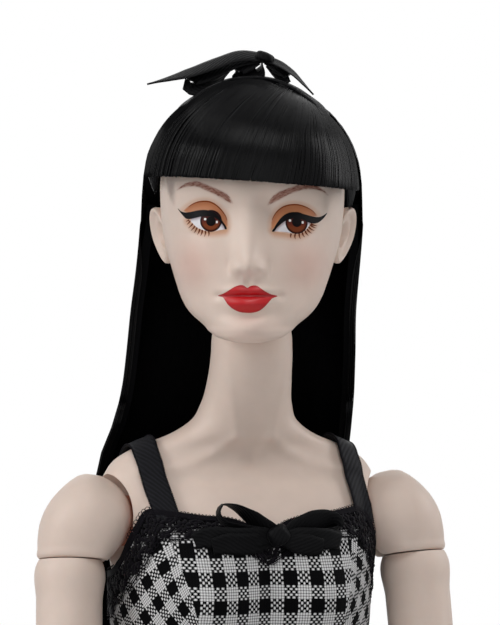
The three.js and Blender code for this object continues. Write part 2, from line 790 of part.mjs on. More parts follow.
function strap(side) {
  const band = block(strapWidth, overrun * 4, overrun * 2);
  band.translate(side.sign * strapOffset, 0, shoulderHeight);
  const shell = torsoShell(fabricGap, fabricGap + fabricThickness);
  const above = aboveNeckline(laceRise + clearance);
  return geometryOf(shell.intersect(solid(band)).intersect(above));
}

// Arm pieces, each with its joint's centre at the origin and the limb hanging along -z

function shoulderPeg(side) {
  const shaft = solid(rod('x', pegRadius, -pegLength, 0));
  const flange = solid(rod('x', flangeRadius, -pegLength, -pegLength + flangeThickness));
  const eye = solid(rod('y', flangeRadius, -pegRadius, pegRadius, limbSides));
  const pin = solid(rod('y', pinRadius, -capRadius * 0.45, capRadius * 0.45));
  return handed(geometryOf(union([shaft, flange, eye, pin])), side);
}

const capShares = [
  [0.00, 0.90, 0.95, 0.95, 0],
  [0.45, 1.02, 1.12, 1.12, 0],
  [1.00, 0.99, 1.04, 1.04, 0],
];

function stemBore() {
  const bore = solid(rod('z', stemRadius + clearance, -clearance, stemLength));
  const low = stemLength - stemFlangeThickness - clearance;
  return bore.add(solid(rod('z', stemFlange + clearance, low, stemLength + clearance)));
}

function stem() {
  const shaft = solid(rod('z', stemRadius, -clearance * 3, stemLength));
  return shaft.add(solid(rod('z', stemFlange, stemLength - stemFlangeThickness, stemLength)));
}

function shoulderCap(side) {
  const stub = limb(capShares, capCut, armRadius, ballSides);
  stub.translate(armOffset, 0, 0);
  const keep = block(4 * capRadius, 4 * capRadius, 2 * capRadius + capCut);
  keep.translate(0, 0, capRadius - capCut / 2);
  const slot = slotAcrossY(2 * (pegRadius + clearance), flangeRadius + clearance, pegRadius + clearance,
    armSpread, armSpread + raiseRange, capRadius + clearance);
  const bore = rod('y', pinRadius + clearance, -capRadius / 2, capRadius / 2);
  const socket = geometryOf(stemBore());
  socket.translate(armOffset, 0, -capCut);
  const body = solid(ball(capRadius).rotateX(Math.PI / 2)).add(solid(stub)).intersect(solid(keep));
  return handed(geometryOf(body.subtract(union([solid(slot), solid(bore), solid(socket)]))), side);
}

const upperArmShares = [
  [0.00, 0.99, 1.02, 1.02, 0],
  [0.18, 0.98, 0.99, 0.99, 0],
  [0.45, 0.92, 0.93, 0.94, 0],
  [0.75, 0.80, 0.82, 0.84, 0],
  [0.92, 0.75, 0.77, 0.77, 0],
  [1.00, 0.70, 0.70, 0.70, 0],
];

function upperArm(side) {
  const drop = elbowDrop - capCut - clearance;
  const shaft = solid(limb(upperArmShares, drop, armRadius));
  const joint = ball(elbowRadius, limbSides);
  joint.translate(0, 0, -drop);
  const slot = slotAcrossX(elbowTongue + 2 * clearance, elbowRadius * 0.85, elbowRadius * 0.62,
    0, elbowBend, elbowRadius * 2);
  slot.translate(0, 0, -drop);
  const bore = rod('x', pinRadius + clearance, -2 * elbowRadius, 2 * elbowRadius);
  bore.translate(0, 0, -drop);
  const body = shaft.add(solid(joint)).subtract(solid(slot)).subtract(solid(bore));
  const top = geometryOf(stem());
  return handed(geometryOf(body.add(solid(top))), side);
}

function hingePin(length) {
  return mergeVertices(rod('x', pinRadius, -length / 2, length / 2), weld);
}

// Lower half of a slotted hinge: a round tongue in the slot and a limb below it
function tongued(shaft, width, pocket, halfNeck, drop) {
  const disc = solid(rod('x', pocket - clearance, -width / 2, width / 2, limbSides));
  const neck = block(width, 2 * (halfNeck - clearance), drop + clearance);
  neck.translate(0, 0, -(drop + clearance) / 2);
  const bore = solid(rod('x', pinRadius + clearance, -width, width));
  return union([solid(shaft), disc, solid(neck)]).subtract(bore);
}

const forearmShares = [
  [0.00, 0.82, 0.82, 0.82, 0],
  [0.08, 0.93, 0.93, 0.95, 0],
  [0.26, 1.00, 1.00, 1.02, 0],
  [0.55, 0.86, 0.88, 0.90, 0],
  [0.85, 0.66, 0.70, 0.70, 0],
  [1.00, 0.62, 0.68, 0.68, 0],
];

function forearm(side) {
  const gap = elbowRadius + 2 * clearance;
  const shaft = limb(forearmShares, wristDrop - gap - clearance, forearmRadius);
  shaft.translate(0, 0, -gap);
  const body = tongued(shaft, elbowTongue, elbowRadius * 0.85, elbowRadius * 0.62, gap);
  const socket = geometryOf(stemBore());
  socket.translate(0, 0, -wristDrop + clearance);
  return handed(geometryOf(body.subtract(solid(socket))), side);
}

const palmShares = [
  [0.00, 1.33, 0.60, 0.60, 0],
  [0.25, 1.20, 0.68, 0.68, 0],
  [0.60, 1.10, 0.94, 0.90, 0],
  [1.00, 0.90, 1.00, 0.98, 0],
];
const fingerPlaces = [
  { across: -0.74, long: 0.88 },
  { across: -0.25, long: 1.00 },
  { across: 0.25, long: 0.94 },
  { across: 0.74, long: 0.74 },
];

function digit(length, radius) {
  const shares = [[0, 1], [0.5, 0.92], [0.85, 0.72], [1, 0.35]];
  const rings = shares.reverse().map(([z, r]) => {
    const curl = length * 0.12 * z * z;
    const thick = r * radius;
    return ovalRing(-z * length, thick, thick, thick, -curl, 0, fingerSides, squarenessShares.limb);
  });
  return loft(rings);
}

function hand(side) {
  const rings = [...palmShares].reverse().map(([z, thick, front, back]) => ovalRing(
    -z * palmLength, thick * palmHalfThickness, front * palmHalfWidth, back * palmHalfWidth,
    0, 0, limbSides, squarenessShares.hand));
  const parts = [solid(loft(rings))];
  for (const place of fingerPlaces) {
    const finger = digit(place.long * fingerLength + palmHalfThickness, fingerRadius);
    finger.translate(0, place.across * palmHalfWidth, -palmLength + palmHalfThickness);
    parts.push(solid(finger));
  }
  const thumb = digit(fingerLength * 0.85, fingerRadius * 1.15);
  thumb.rotateX(degrees(thumbSplay));
  thumb.translate(-palmHalfThickness * 0.2, -palmHalfWidth * 0.5, -palmLength * 0.3);
  parts.push(solid(thumb));
  const top = geometryOf(stem());
  top.translate(0, 0, clearance);
  parts.push(solid(top));
  return handed(geometryOf(union(parts)), side);
}

// Leg pieces

function hipPeg(side) {
  const shaft = solid(rod('x', hipPegRadius, -hipOffset + clearance, 0));
  const eye = solid(rod('y', 2 * hipPegRadius, -hipPegRadius, hipPegRadius, limbSides));
  const pin = solid(rod('y', hipPegRadius * 0.7, -hipRadius * 0.5, hipRadius * 0.5));
  return handed(geometryOf(union([shaft, eye, pin])), side);
}

const thighShares = [
  [0.05, 1.000, 1.000, 1.000, 0.00],
  [0.16, 0.985, 0.985, 0.985, 0.00],
  [0.32, 0.940, 0.940, 0.940, 0.03],
  [0.52, 0.820, 0.840, 0.820, 0.06],
  [0.74, 0.680, 0.710, 0.690, 0.05],
  [0.90, 0.620, 0.640, 0.630, 0.02],
  [1.00, 0.560, 0.570, 0.570, 0.00],
];

function thigh(side) {
  const shaft = solid(limb(thighShares, thighLength, hipRadius, limbSides, kneeInset));
  const top = solid(ball(hipRadius).rotateX(Math.PI / 2));
  const joint = ball(kneeRadius, limbSides);
  joint.translate(-kneeInset, 0, -thighLength);
  const knee = slotAcrossX(kneeTongue + 2 * clearance, kneeRadius * 0.85, kneeRadius * 0.62,
    -kneeBend, 0, kneeRadius * 2);
  knee.translate(-kneeInset, 0, -thighLength);
  const pin = rod('x', pinRadius + clearance, -2 * kneeRadius, 2 * kneeRadius);
  pin.translate(-kneeInset, 0, -thighLength);
  const slot = slotAcrossY(2 * (hipPegRadius + clearance), 2 * (hipPegRadius + clearance),
    hipPegRadius + clearance, 0, hipOutward, hipRadius + clearance);
  const bore = rod('y', hipPegRadius * 0.7 + clearance, -hipRadius * 0.55, hipRadius * 0.55);
  const cuts = union([solid(knee), solid(pin), solid(slot), solid(bore)]);
  return handed(geometryOf(union([shaft, top, solid(joint)]).subtract(cuts)), side);
}

const shinShares = [
  [0.00, 0.84, 0.84, 0.84, 0.00],
  [0.10, 0.92, 0.90, 0.96, 0.00],
  [0.26, 1.00, 0.92, 1.12, 0.00],
  [0.48, 0.86, 0.82, 0.96, 0.00],
  [0.72, 0.62, 0.64, 0.66, 0.00],
  [1.00, 0.53, 0.56, 0.56, 0.00],
];

// Length share from the heel, half width share, top height share
const footShares = [
  [0.00, 0.45, 0.45],
  [0.08, 0.68, 0.80],
  [0.25, 0.72, 1.00],
  [0.45, 0.78, 0.78],
  [0.68, 1.00, 0.48],
  [0.85, 0.92, 0.36],
  [0.96, 0.62, 0.27],
  [1.00, 0.35, 0.18],
];

// A foot lying along -y with its sole on z = 0, or the same form grown into a shoe with a thicker sole
function footForm(growth, sole) {
  const height = footHeight + growth;
  const length = footLength + 2 * growth;
  return loft(footShares.map(([y, half, top]) => {
    const [middle, upper] = [top * height * 0.4, top * height * 0.6];
    const flat = ovalRing(0, half * footHalfWidth + growth, 2 * (middle + sole), upper,
      0, middle, limbSides, squarenessShares.foot);
    return flat.map((p) => new THREE.Vector3(p.x, heelSetback + growth - y * length, Math.max(p.y, -sole)));
  }));
}

function lowerLeg(side) {
  const gap = kneeRadius + 2 * clearance;
  const shinLength = kneeHeight - ankleHeight - gap;
  const shaft = limb(shinShares, shinLength, calfRadius);
  shaft.translate(0, 0, -gap);
  const body = tongued(shaft, kneeTongue, kneeRadius * 0.85, kneeRadius * 0.62, gap);
  const foot = footForm(0, 0);
  foot.translate(0, 0, -kneeHeight + soleThickness + clearance);
  const heel = rod('z', ankleRadius, -kneeHeight + footHeight / 2, -kneeHeight + ankleHeight + kneeLine,
    limbSides);
  return handed(geometryOf(union([body, solid(foot), solid(heel)])), side);
}

function shoe(side) {
  const outer = solid(footForm(clearance + shoeWall, soleThickness + clearance));
  const inner = solid(footForm(clearance, clearance));
  const open = block(4 * footHalfWidth, footLength * 0.62, 2 * footHeight);
  open.translate(0, heelSetback - footLength * 0.31, footHeight * 1.5);
  const leg = rod('z', ankleRadius + 3 * clearance, 0, 2 * ankleHeight, limbSides);
  const shape = geometryOf(outer.subtract(union([inner, solid(open), solid(leg)])));
  shape.translate(0, 0, -kneeHeight + soleThickness + clearance);
  return handed(shape, side);
}

// Finishes

function finish(color, roughness, metalness = 0) {
  return new THREE.MeshStandardMaterial({ color, roughness, metalness });
}

const skin = () => finish(0xe9cdbd, 0.42);
const hair = () => finish(0x0b0b0d, 0.3);
const ribbon = () => finish(0x101012, 0.5);
const lace = () => finish(0x0c0c0e, 0.8);
const cloth = () => finish(0x9a9a9c, 0.85);
const pin = () => finish(0xd8b9a6, 0.35);
const socketPink = () => finish(0xd98e72, 0.5);
const leather = () => finish(0x0d0d0e, 0.35);

function piece(name, geometry, material) {
  const mesh = new THREE.Mesh(geometry, material);
  mesh.name = name;
  return mesh;
}

function joint(name, parent, position) {
  const group = new THREE.Group();
  group.name = name;
  group.position.copy(position);
  parent.add(group);
  return group;
}

// Assembly

const doll = new THREE.Group();
doll.position.set(0, balance, 0);
doll.add(piece('torso', torso(), skin()));
doll.add(piece('suit', suit(), cloth()));
doll.add(piece('neckline_lace', necklineLace(), lace()));
doll.add(piece('hair_length', hairLength(), hair()));

const nod = joint('neck_nod', doll, neckPivot);
nod.add(piece('neck_post', neckPost(), pin()));
const neck = joint('head_turn', nod, new THREE.Vector3());
neck.rotation.z = degrees(headTurn);
neck.add(piece('head', head(), skin()));
neck.add(piece('hair_crown', hairCrown(), hair()));
neck.add(piece('hair_fringe', hairFringe(), hair()));
neck.add(piece('headband', headband(), ribbon()));

const headBowPlace = new THREE.Vector3(
  0, -hairDepth * 0.2, crownTop - neckPivotHeight + knotSize / 2 + clearance);
const headBow = joint('head_bow_seat', neck, headBowPlace);
const headBowForm = cutForKnot(bow(headBowSpan, knotSize * 1.8, knotSize));
const overCrown = grown(hairForm(), 2 * clearance + ribbonThickness);
headBow.add(piece('head_bow', seated(headBowForm, headBowPlace, overCrown), ribbon()));
headBow.add(piece('head_bow_knot', seated(knot(), headBowPlace, overCrown), ribbon()));

const bustBowPlace = new THREE.Vector3(
  0, -torsoHalfDepth * bustReachShare - bowRibbon / 2, bustCentreHeight);
const bustBow = joint('bust_bow_seat', doll, bustBowPlace);
const bustBowForm = cutForKnot(bow(bustBowSpan, knotSize * 1.8, knotSize));
const overLace = grown(torsoForm(), laceInner + laceThickness + clearance);
bustBow.add(piece('bust_bow', seated(bustBowForm, bustBowPlace, overLace), ribbon()));
bustBow.add(piece('bust_bow_knot', seated(knot(), bustBowPlace, overLace), ribbon()));

for (const side of sides) {
  const add = (group, name, geometry, material) => {
    group.add(piece(`${name}_${side.name}`, geometry, material));
  };
  add(doll, 'strap', strap(side), ribbon());

  const shoulderPlace = new THREE.Vector3(side.sign * capCentre.x, capCentre.y, capCentre.z);
  const swing = joint(`shoulder_swing_${side.name}`, doll, shoulderPlace);
  swing.rotation.x = degrees(armSwing);
  add(swing, 'shoulder_peg', shoulderPeg(side), socketPink());
  const raise = joint(`shoulder_raise_${side.name}`, swing, new THREE.Vector3());
  raise.rotation.y = degrees(-side.sign * armSpread);
  add(raise, 'shoulder_cap', shoulderCap(side), skin());
  const swivel = joint(`arm_swivel_${side.name}`, raise,
    new THREE.Vector3(side.sign * armOffset, 0, -capCut - clearance));
  add(swivel, 'upper_arm', upperArm(side), skin());
  const elbow = joint(`elbow_${side.name}`, swivel,
    new THREE.Vector3(0, 0, -elbowDrop + capCut + clearance));
  add(elbow, 'elbow_pin', hingePin(elbowRadius * 1.7), pin());
  add(elbow, 'forearm', forearm(side), skin());
  const wrist = joint(`wrist_${side.name}`, elbow, new THREE.Vector3(0, 0, -wristDrop));
  add(wrist, 'hand', hand(side), skin());

  const hipPlace = new THREE.Vector3(side.sign * hipCentre.x, hipCentre.y, hipCentre.z);
  const hip = joint(`hip_swing_${side.name}`, doll, hipPlace);
  add(hip, 'hip_peg', hipPeg(side), socketPink());
  const spread = joint(`hip_spread_${side.name}`, hip, new THREE.Vector3());
  add(spread, 'thigh', thigh(side), skin());
  const knee = joint(`knee_${side.name}`, spread,
    new THREE.Vector3(-side.sign * kneeInset, 0, -thighLength));
  add(knee, 'knee_pin', hingePin(kneeRadius * 1.7), pin());
  add(knee, 'lower_leg', lowerLeg(side), skin());
  add(knee, 'shoe', shoe(side), leather());
}

export default doll;
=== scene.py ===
"""Looks of a jointed fashion doll in a gingham suit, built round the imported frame.
Shapes are worked out in millimetres and scaled to metres when a mesh is made."""
import math

import bmesh
import bpy
import numpy as np
from mathutils import Matrix, Vector
from mathutils.geometry import delaunay_2d_cdt


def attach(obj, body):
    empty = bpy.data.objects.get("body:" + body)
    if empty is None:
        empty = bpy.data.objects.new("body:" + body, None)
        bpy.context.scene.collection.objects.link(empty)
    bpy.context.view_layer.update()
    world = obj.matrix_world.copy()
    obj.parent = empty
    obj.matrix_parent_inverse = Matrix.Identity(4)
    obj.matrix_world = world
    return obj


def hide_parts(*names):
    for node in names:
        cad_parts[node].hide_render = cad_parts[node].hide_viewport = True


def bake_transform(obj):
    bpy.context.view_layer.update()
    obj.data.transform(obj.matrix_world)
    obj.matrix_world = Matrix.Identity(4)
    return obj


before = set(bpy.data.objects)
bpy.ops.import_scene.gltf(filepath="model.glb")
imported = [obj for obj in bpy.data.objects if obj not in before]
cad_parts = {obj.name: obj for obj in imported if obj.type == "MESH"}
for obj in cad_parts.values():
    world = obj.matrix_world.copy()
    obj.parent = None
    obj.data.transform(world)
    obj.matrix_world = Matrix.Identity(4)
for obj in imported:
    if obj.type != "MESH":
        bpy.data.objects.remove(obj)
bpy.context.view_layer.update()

MM = 0.001
rng = np.random.default_rng(7)
SIDES = (("left", 1), ("right", -1))

# Places shared with the frame, in millimetres
BALANCE = 6
CROTCH, HIP, KNEE, SHOULDER, NECK = 203, 213, 112, 309.5, 352.5
HALF_WIDTH, HALF_DEPTH, LEAN, NECK_RADIUS = 30, 20, 10.5, 8.7
HEAD_WIDTH, HEAD_DEPTH, HEAD_HEIGHT, CHIN = 20, 22, 53.7, 4.2
CAP_CENTRE = np.array([35.5, -3, SHOULDER])
CAP_RADIUS, CAP_CUT, ARM_OFFSET, ARM_RADIUS = 10.5, 8.2, 2.2, 7.9
ELBOW_DROP, ELBOW_RADIUS, WRIST_DROP, FOREARM_RADIUS = 58, 6.2, 48.5, 6.6
HIP_SPREAD, HIP_RADIUS, KNEE_RADIUS, CALF_RADIUS = 18.6, 15.2, 9.4, 9.8
KNEE_INSET, CLEARANCE = 4, 0.3


# Numbers and curves

def hermite(table, at):
    """Rows of a table, whose first column rises, interpolated smoothly at the given values."""
    table = np.asarray(table, float)
    x, y = table[:, 0], table[:, 1:]
    step = np.diff(x)[:, None]
    slope = np.diff(y, axis=0) / step
    tangent = np.vstack([slope[:1], (slope[:-1] * step[1:] + slope[1:] * step[:-1])
                         / (step[1:] + step[:-1]), slope[-1:]])
    at = np.asarray(at, float)
    k = np.clip(np.searchsorted(x, at) - 1, 0, len(x) - 2)
    h = step[k, 0]
    t = np.clip((at - x[k]) / h, 0, 1)[..., None]
    h = h[..., None]
    return ((2 * t ** 3 - 3 * t ** 2 + 1) * y[k] + (t ** 3 - 2 * t ** 2 + t) * h * tangent[k]
            + (3 * t ** 2 - 2 * t ** 3) * y[k + 1] + (t ** 3 - t ** 2) * h * tangent[k + 1])


def curve(points, count, closed=False):
    """A smooth line through points, with equal steps along its length."""
    p = np.asarray(points, float)
    if closed:
        p = np.vstack([p[-2:], p, p[:3]])
    along = np.r_[0, np.cumsum(np.linalg.norm(np.diff(p, axis=0), axis=1))]
    start, end = (along[2], along[-3]) if closed else (0, along[-1])
    fine = hermite(np.c_[along, p], np.linspace(start, end, 12 * count))
    length = np.r_[0, np.cumsum(np.linalg.norm(np.diff(fine, axis=0), axis=1))]
    at = np.linspace(0, length[-1], count + (1 if closed else 0))
    out = np.stack([np.interp(at, length, fine[:, i]) for i in range(p.shape[1])], 1)
    return out[:-1] if closed else out


def smooth(low, high, x):
    t = np.clip((x - low) / (high - low), 0, 1)
    return t * t * (3 - 2 * t)


def bump(x, z, cx, cz, wx, wz):
    return np.exp(-((x - cx) / wx) ** 2 - ((z - cz) / wz) ** 2)


def turn(axis, degrees):
    return np.array(Matrix.Rotation(math.radians(degrees), 4, axis))


def shift(x, y, z):
    return np.array(Matrix.Translation((x, y, z)))


def moved(points, matrix):
    return points @ matrix[:3, :3].T + matrix[:3, 3]


# Meshes

def make(name, points, faces, material=None, crease=None):
    """An object of a mesh given in millimetres."""
    mesh = bpy.data.meshes.new(name)
    mesh.from_pydata((np.asarray(points) * MM).tolist(), [], [list(map(int, f)) for f in faces])
    mesh.validate()
    mesh.shade_smooth()
    if crease:
        mesh.set_sharp_from_angle(angle=math.radians(crease))
    obj = bpy.data.objects.new(name, mesh)
    bpy.context.scene.collection.objects.link(obj)
    if material:
        mesh.materials.append(material)
    return obj


def outward(obj):
    work = bmesh.new()
    work.from_mesh(obj.data)
    bmesh.ops.recalc_face_normals(work, faces=work.faces)
    work.to_mesh(obj.data)
    work.free()
    return obj


def grid_faces(rows, columns, wrap=False):
    r, c = np.meshgrid(np.arange(rows - 1), np.arange(columns if wrap else columns - 1), indexing="ij")
    a = r * columns + c
    b = r * columns + (c + 1) % columns
    return np.stack([a, b, b + columns, a + columns], -1).reshape(-1, 4)


def loft(rings):
    """Points and faces of a closed stack of rings, each a (count, 3) array, lowest first."""
    rings = np.asarray(rings, float)
    rows, columns = rings.shape[:2]
    points = np.vstack([rings.reshape(-1, 3), rings[0].mean(0), rings[-1].mean(0)])
    faces = grid_faces(rows, columns, True).tolist()
    low, high, last = rows * columns, rows * columns + 1, (rows - 1) * columns
    for j in range(columns):
        k = (j + 1) % columns
        faces += [[low, k, j], [high, last + j, last + k]]
    return points, faces


def oval(z, half, front, back, cx, cy, count, power):
    """Rings of flattened ovals. Each argument but the last two may be an array."""
    angle = np.arange(count) / count * 2 * np.pi
    c, s = np.cos(angle), np.sin(angle)
    z, half, front, back, cx, cy = (np.broadcast_to(np.asarray(v, float), np.shape(z))[:, None]
                                    for v in (z, half, front, back, cx, cy))
    x = half * np.sign(c) * np.abs(c) ** (2 / power)
    y = np.where(s < 0, front, back) * np.sign(s) * np.abs(s) ** (2 / power)
    return np.stack([cx + x, cy + y, z + 0 * x], -1)


def limb(table, drop, radius, count=56, rows=70, inset=0):
    share = np.linspace(1, table[0][0], rows)
    half, front, back, shift_y = hermite(table, share).T * radius
    return oval(-share * drop, half, front, back, -share ** 2 * inset, -shift_y, count, 2)


def tubes(paths, radii, sides=4, flat=1.0, outward_from=None, ends=True):
    """Points and faces of many strands. paths is (strands, steps, 3) and radii broadcasts to it."""
    paths = np.asarray(paths, float)
    n, k = paths.shape[:2]
    radii = np.broadcast_to(np.asarray(radii, float), (n, k))
    tangent = np.gradient(paths, axis=1)
    tangent /= np.linalg.norm(tangent, axis=-1, keepdims=True) + 1e-12
    if outward_from is None:
        up = np.zeros_like(paths) + np.array([0.31, 0.17, 0.93])
        up[np.abs((tangent * up).sum(-1)) > 0.85] = (0.9, -0.3, 0.1)
    else:
        up = paths - outward_from
    side = np.cross(tangent, up)
    side /= np.linalg.norm(side, axis=-1, keepdims=True) + 1e-12
    up = np.cross(side, tangent)
    angle = np.arange(sides) / sides * 2 * np.pi
    ring = (np.cos(angle)[:, None] * side[:, :, None] + flat * np.sin(angle)[:, None] * up[:, :, None])
    points = (paths[:, :, None] + ring * radii[:, :, None, None]).reshape(-1, 3)
    one = grid_faces(k, sides, True)[:, ::-1]
    faces = (one[None] + (np.arange(n) * k * sides)[:, None, None]).reshape(-1, 4).tolist()
    if ends:
        for i in range(n):
            first = i * k * sides
            faces.append([first + j for j in range(sides)])
            faces.append([first + (k - 1) * sides + j for j in range(sides)][::-1])
    return points, faces


def joined(parts):
    """Several (points, faces) as one."""
    points, faces, start = [], [], 0
    for p, f in parts:
        points.append(p)
        faces += [[i + start for i in face] for face in f]
        start += len(p)
    return np.vstack(points), faces


def mirrored(points, faces, sign):
    if sign > 0:
        return points, faces
    return points * [-1, 1, 1], [face[::-1] for face in faces]


def applied(obj):
    """The object's mesh with its modifiers applied."""
    bpy.context.view_layer.update()
    mesh = bpy.data.meshes.new_from_object(obj.evaluated_get(bpy.context.evaluated_depsgraph_get()))
    obj.modifiers.clear()
    obj.data = mesh
    return obj


def combined(obj, others, operation):
    for other in others:
        modifier = obj.modifiers.new("cut", "BOOLEAN")
        modifier.operation = operation
        modifier.solver = "EXACT"
        modifier.object = other
    applied(obj)
    for other in others:
        bpy.data.objects.remove(other)
    obj.data.shade_smooth()
    obj.data.set_sharp_from_angle(angle=math.radians(38))
    return obj


def cutter(points, faces, matrix=None, sign=1):
    points, faces = mirrored(np.asarray(points, float), [list(f) for f in faces], sign)
    if matrix is not None:
        points = moved(points, matrix)
    return outward(make("cutter", points, faces))


def rod(axis, radius, low, high, count=24):
    angle = np.arange(count) / count * 2 * np.pi
    ring = np.stack([np.cos(angle) * radius, np.sin(angle) * radius], 1)
    order = {"x": (2, 0, 1), "y": (0, 2, 1), "z": (0, 1, 2)}[axis]
    rings = [np.c_[ring, np.full(count, end)][:, order] for end in (low, high)]
    return loft(rings)


def ball(radius, count=40):
    theta = np.linspace(-np.pi / 2 + 0.02, np.pi / 2 - 0.02, count // 2)
    return loft(oval(radius * np.sin(theta), radius * np.cos(theta), radius * np.cos(theta),
                     radius * np.cos(theta), 0, 0, count, 2))


def slot_x(width, pocket, half_shaft, low, high, reach):
    """A wedge-shaped slot across x with a round pocket, turning from -z towards -y."""
    a, b = math.radians(low), math.radians(high)
    start, far, spread = math.asin(half_shaft / pocket), math.hypot(reach, half_shaft), math.atan2(half_shaft, reach)
    outer = np.linspace(a - spread, b + spread, 16)
    inner = np.linspace(b + start, a - start + 2 * math.pi, 24)
    outline = [(far * math.cos(t), far * math.sin(t)) for t in outer]
    outline += [(pocket * math.cos(t), pocket * math.sin(t)) for t in inner]
    rings = [np.array([(w, -s, -c) for c, s in outline]) for w in (-width / 2, width / 2)]
    count = len(outline)
    points = np.vstack(rings)
    faces = [[j, (j + 1) % count, (j + 1) % count + count, j + count] for j in range(count)]
    return points, faces + [list(range(count))[::-1], list(range(count, 2 * count))]


def slot_y(*sizes):
    points, faces = slot_x(*sizes)
    return np.stack([points[:, 1], points[:, 0], points[:, 2]], 1), [f[::-1] for f in faces]


def band_faces(rows, count):
    """Faces of rows that run out along one side and back along the other, closed at both ends."""
    faces = grid_faces(rows, count, True).tolist()
    last = (rows - 1) * count
    for j in range(count // 2 - 1):
        faces.append([j, count - 1 - j, count - 2 - j, j + 1])
        faces.append([last + j, last + j + 1, last + count - 2 - j, last + count - 1 - j])
    return faces


# Materials

def material(name, colour, roughness, **inputs):
    made = bpy.data.materials.new(name)
    made.use_nodes = True
    shader = made.node_tree.nodes["Principled BSDF"]
    shader.inputs["Base Color"].default_value = (*colour, 1)
    shader.inputs["Roughness"].default_value = roughness
    for key, value in inputs.items():
        shader.inputs[key.replace("_", " ")].default_value = value
    return made


def linear(r, g, b):
    """A colour given in display values from 0 to 255."""
    v = np.array([r, g, b]) / 255
    return tuple(np.where(v <= 0.04045, v / 12.92, ((v + 0.055) / 1.055) ** 2.4))


class Nodes:
    """Short calls for one material's nodes."""

    def __init__(self, made):
        self.tree = made.node_tree
        self.shader = self.tree.nodes["Principled BSDF"]

    def add(self, kind, links=None, **values):
        node = self.tree.nodes.new(kind)
        for key, value in values.items():
            if hasattr(node, key):
                setattr(node, key, value)
            else:
                node.inputs[key.replace("_", " ")].default_value = value
        for key, source in (links or {}).items():
            self.tree.links.new(source, node.inputs[key])
        return node

    def math(self, operation, *values):
        node = self.tree.nodes.new("ShaderNodeMath")
        node.operation = operation
        for i, value in enumerate(values):
            if isinstance(value, (int, float)):
                node.inputs[i].default_value = value
            else:
                self.tree.links.new(value, node.inputs[i])
        return node.outputs[0]

    def mix(self, factor, a, b):
        node = self.tree.nodes.new("ShaderNodeMix")
        node.data_type = "RGBA"
        for i, value in ((0, factor), (6, a), (7, b)):
            if isinstance(value, (tuple, list)):
                node.inputs[i].default_value = (*value, 1)
            elif isinstance(value, (int, float)):
                node.inputs[i].default_value = value
            else:
                self.tree.links.new(value, node.inputs[i])
        return node.outputs[2]

    def attribute(self, name):
        return self.add("ShaderNodeAttribute", attribute_name=name)

    def place(self):
        return self.add("ShaderNodeTexCoord").outputs["Object"]

    def noise(self, scale, detail=3, vector=None):
        node = self.add("ShaderNodeTexNoise", Scale=scale, Detail=detail)
        self.tree.links.new(vector or self.place(), node.inputs["Vector"])
        return node.outputs["Fac"]

    def bump(self, height, strength, distance):
        node = self.add("ShaderNodeBump", Strength=strength, Distance=distance)
        self.tree.links.new(height, node.inputs["Height"])
        self.tree.links.new(node.outputs["Normal"], self.shader.inputs["Normal"])

    def to(self, key, source):
        self.tree.links.new(source, self.shader.inputs[key])


def mottled(name, colour, roughness, low, high, scale, detail=3, **inputs):
    """A material whose colour drifts between two tones, and its nodes."""
    made = material(name, colour, roughness, **inputs)
    n = Nodes(made)
    n.to("Base Color", n.mix(n.noise(scale, detail), low, high))
    return made, n


SKIN = linear(226, 206, 193)


def skin_material(name, painted=False):
    """Matt vinyl: a faint mottle, a fine grain and a little light under the surface."""
    made = material(name, SKIN, 0.5, Subsurface_Weight=0.12, Subsurface_Scale=0.0016, Specular_IOR_Level=0.4)
    made.node_tree.nodes["Principled BSDF"].inputs["Subsurface Radius"].default_value = (1, 0.45, 0.3)
    n = Nodes(made)
    colour = n.attribute("paint").outputs["Color"] if painted else n.mix(0.0, SKIN, SKIN)
    mottle = n.math("MULTIPLY", n.math("SUBTRACT", n.noise(260, 4), 0.5), 0.10)
    tone = n.math("ADD", 0.99, mottle)
    shade = n.add("ShaderNodeCombineColor", {"Red": tone, "Green": tone, "Blue": tone})
    scaled = n.add("ShaderNodeMix", data_type="RGBA", blend_type="MULTIPLY")
    scaled.inputs[0].default_value = 1
    n.tree.links.new(colour, scaled.inputs[6])
    n.tree.links.new(shade.outputs[0], scaled.inputs[7])
    n.to("Base Color", scaled.outputs[2])
    rough = n.math("ADD", 0.46, n.math("MULTIPLY", n.noise(900, 2), 0.1))
    n.to("Roughness", rough)
    n.bump(n.noise(5200, 2), 0.12, 0.00002)
    return made


skin = skin_material("skin")
face_skin = skin_material("face_skin", painted=True)


# Camera and light

AZIMUTH, DISTANCE, VIEW_HEIGHT, CENTRE_Z, CENTRE_X = -16, 720, 137.5, 354.85, 2.42
heading = math.radians(AZIMUTH)
across = np.array([math.cos(heading), math.sin(heading), 0])
back = np.array([math.sin(heading), -math.cos(heading), 0])
target = np.array([0, BALANCE, CENTRE_Z]) + across * CENTRE_X
camera_data = bpy.data.cameras.new("camera")
camera_data.sensor_width = 36
camera_data.lens = 36 * DISTANCE / VIEW_HEIGHT
camera_data.clip_start = 0.01
camera_data.clip_end = 20
camera = bpy.data.objects.new("camera", camera_data)
camera.location = (target + back * DISTANCE) * MM
camera.rotation_mode = "QUATERNION"
camera.rotation_quaternion = Vector(-back).to_track_quat("-Z", "Y")
bpy.context.scene.collection.objects.link(camera)
bpy.context.scene.camera = camera
bpy.context.scene.view_settings.view_transform = "Standard"


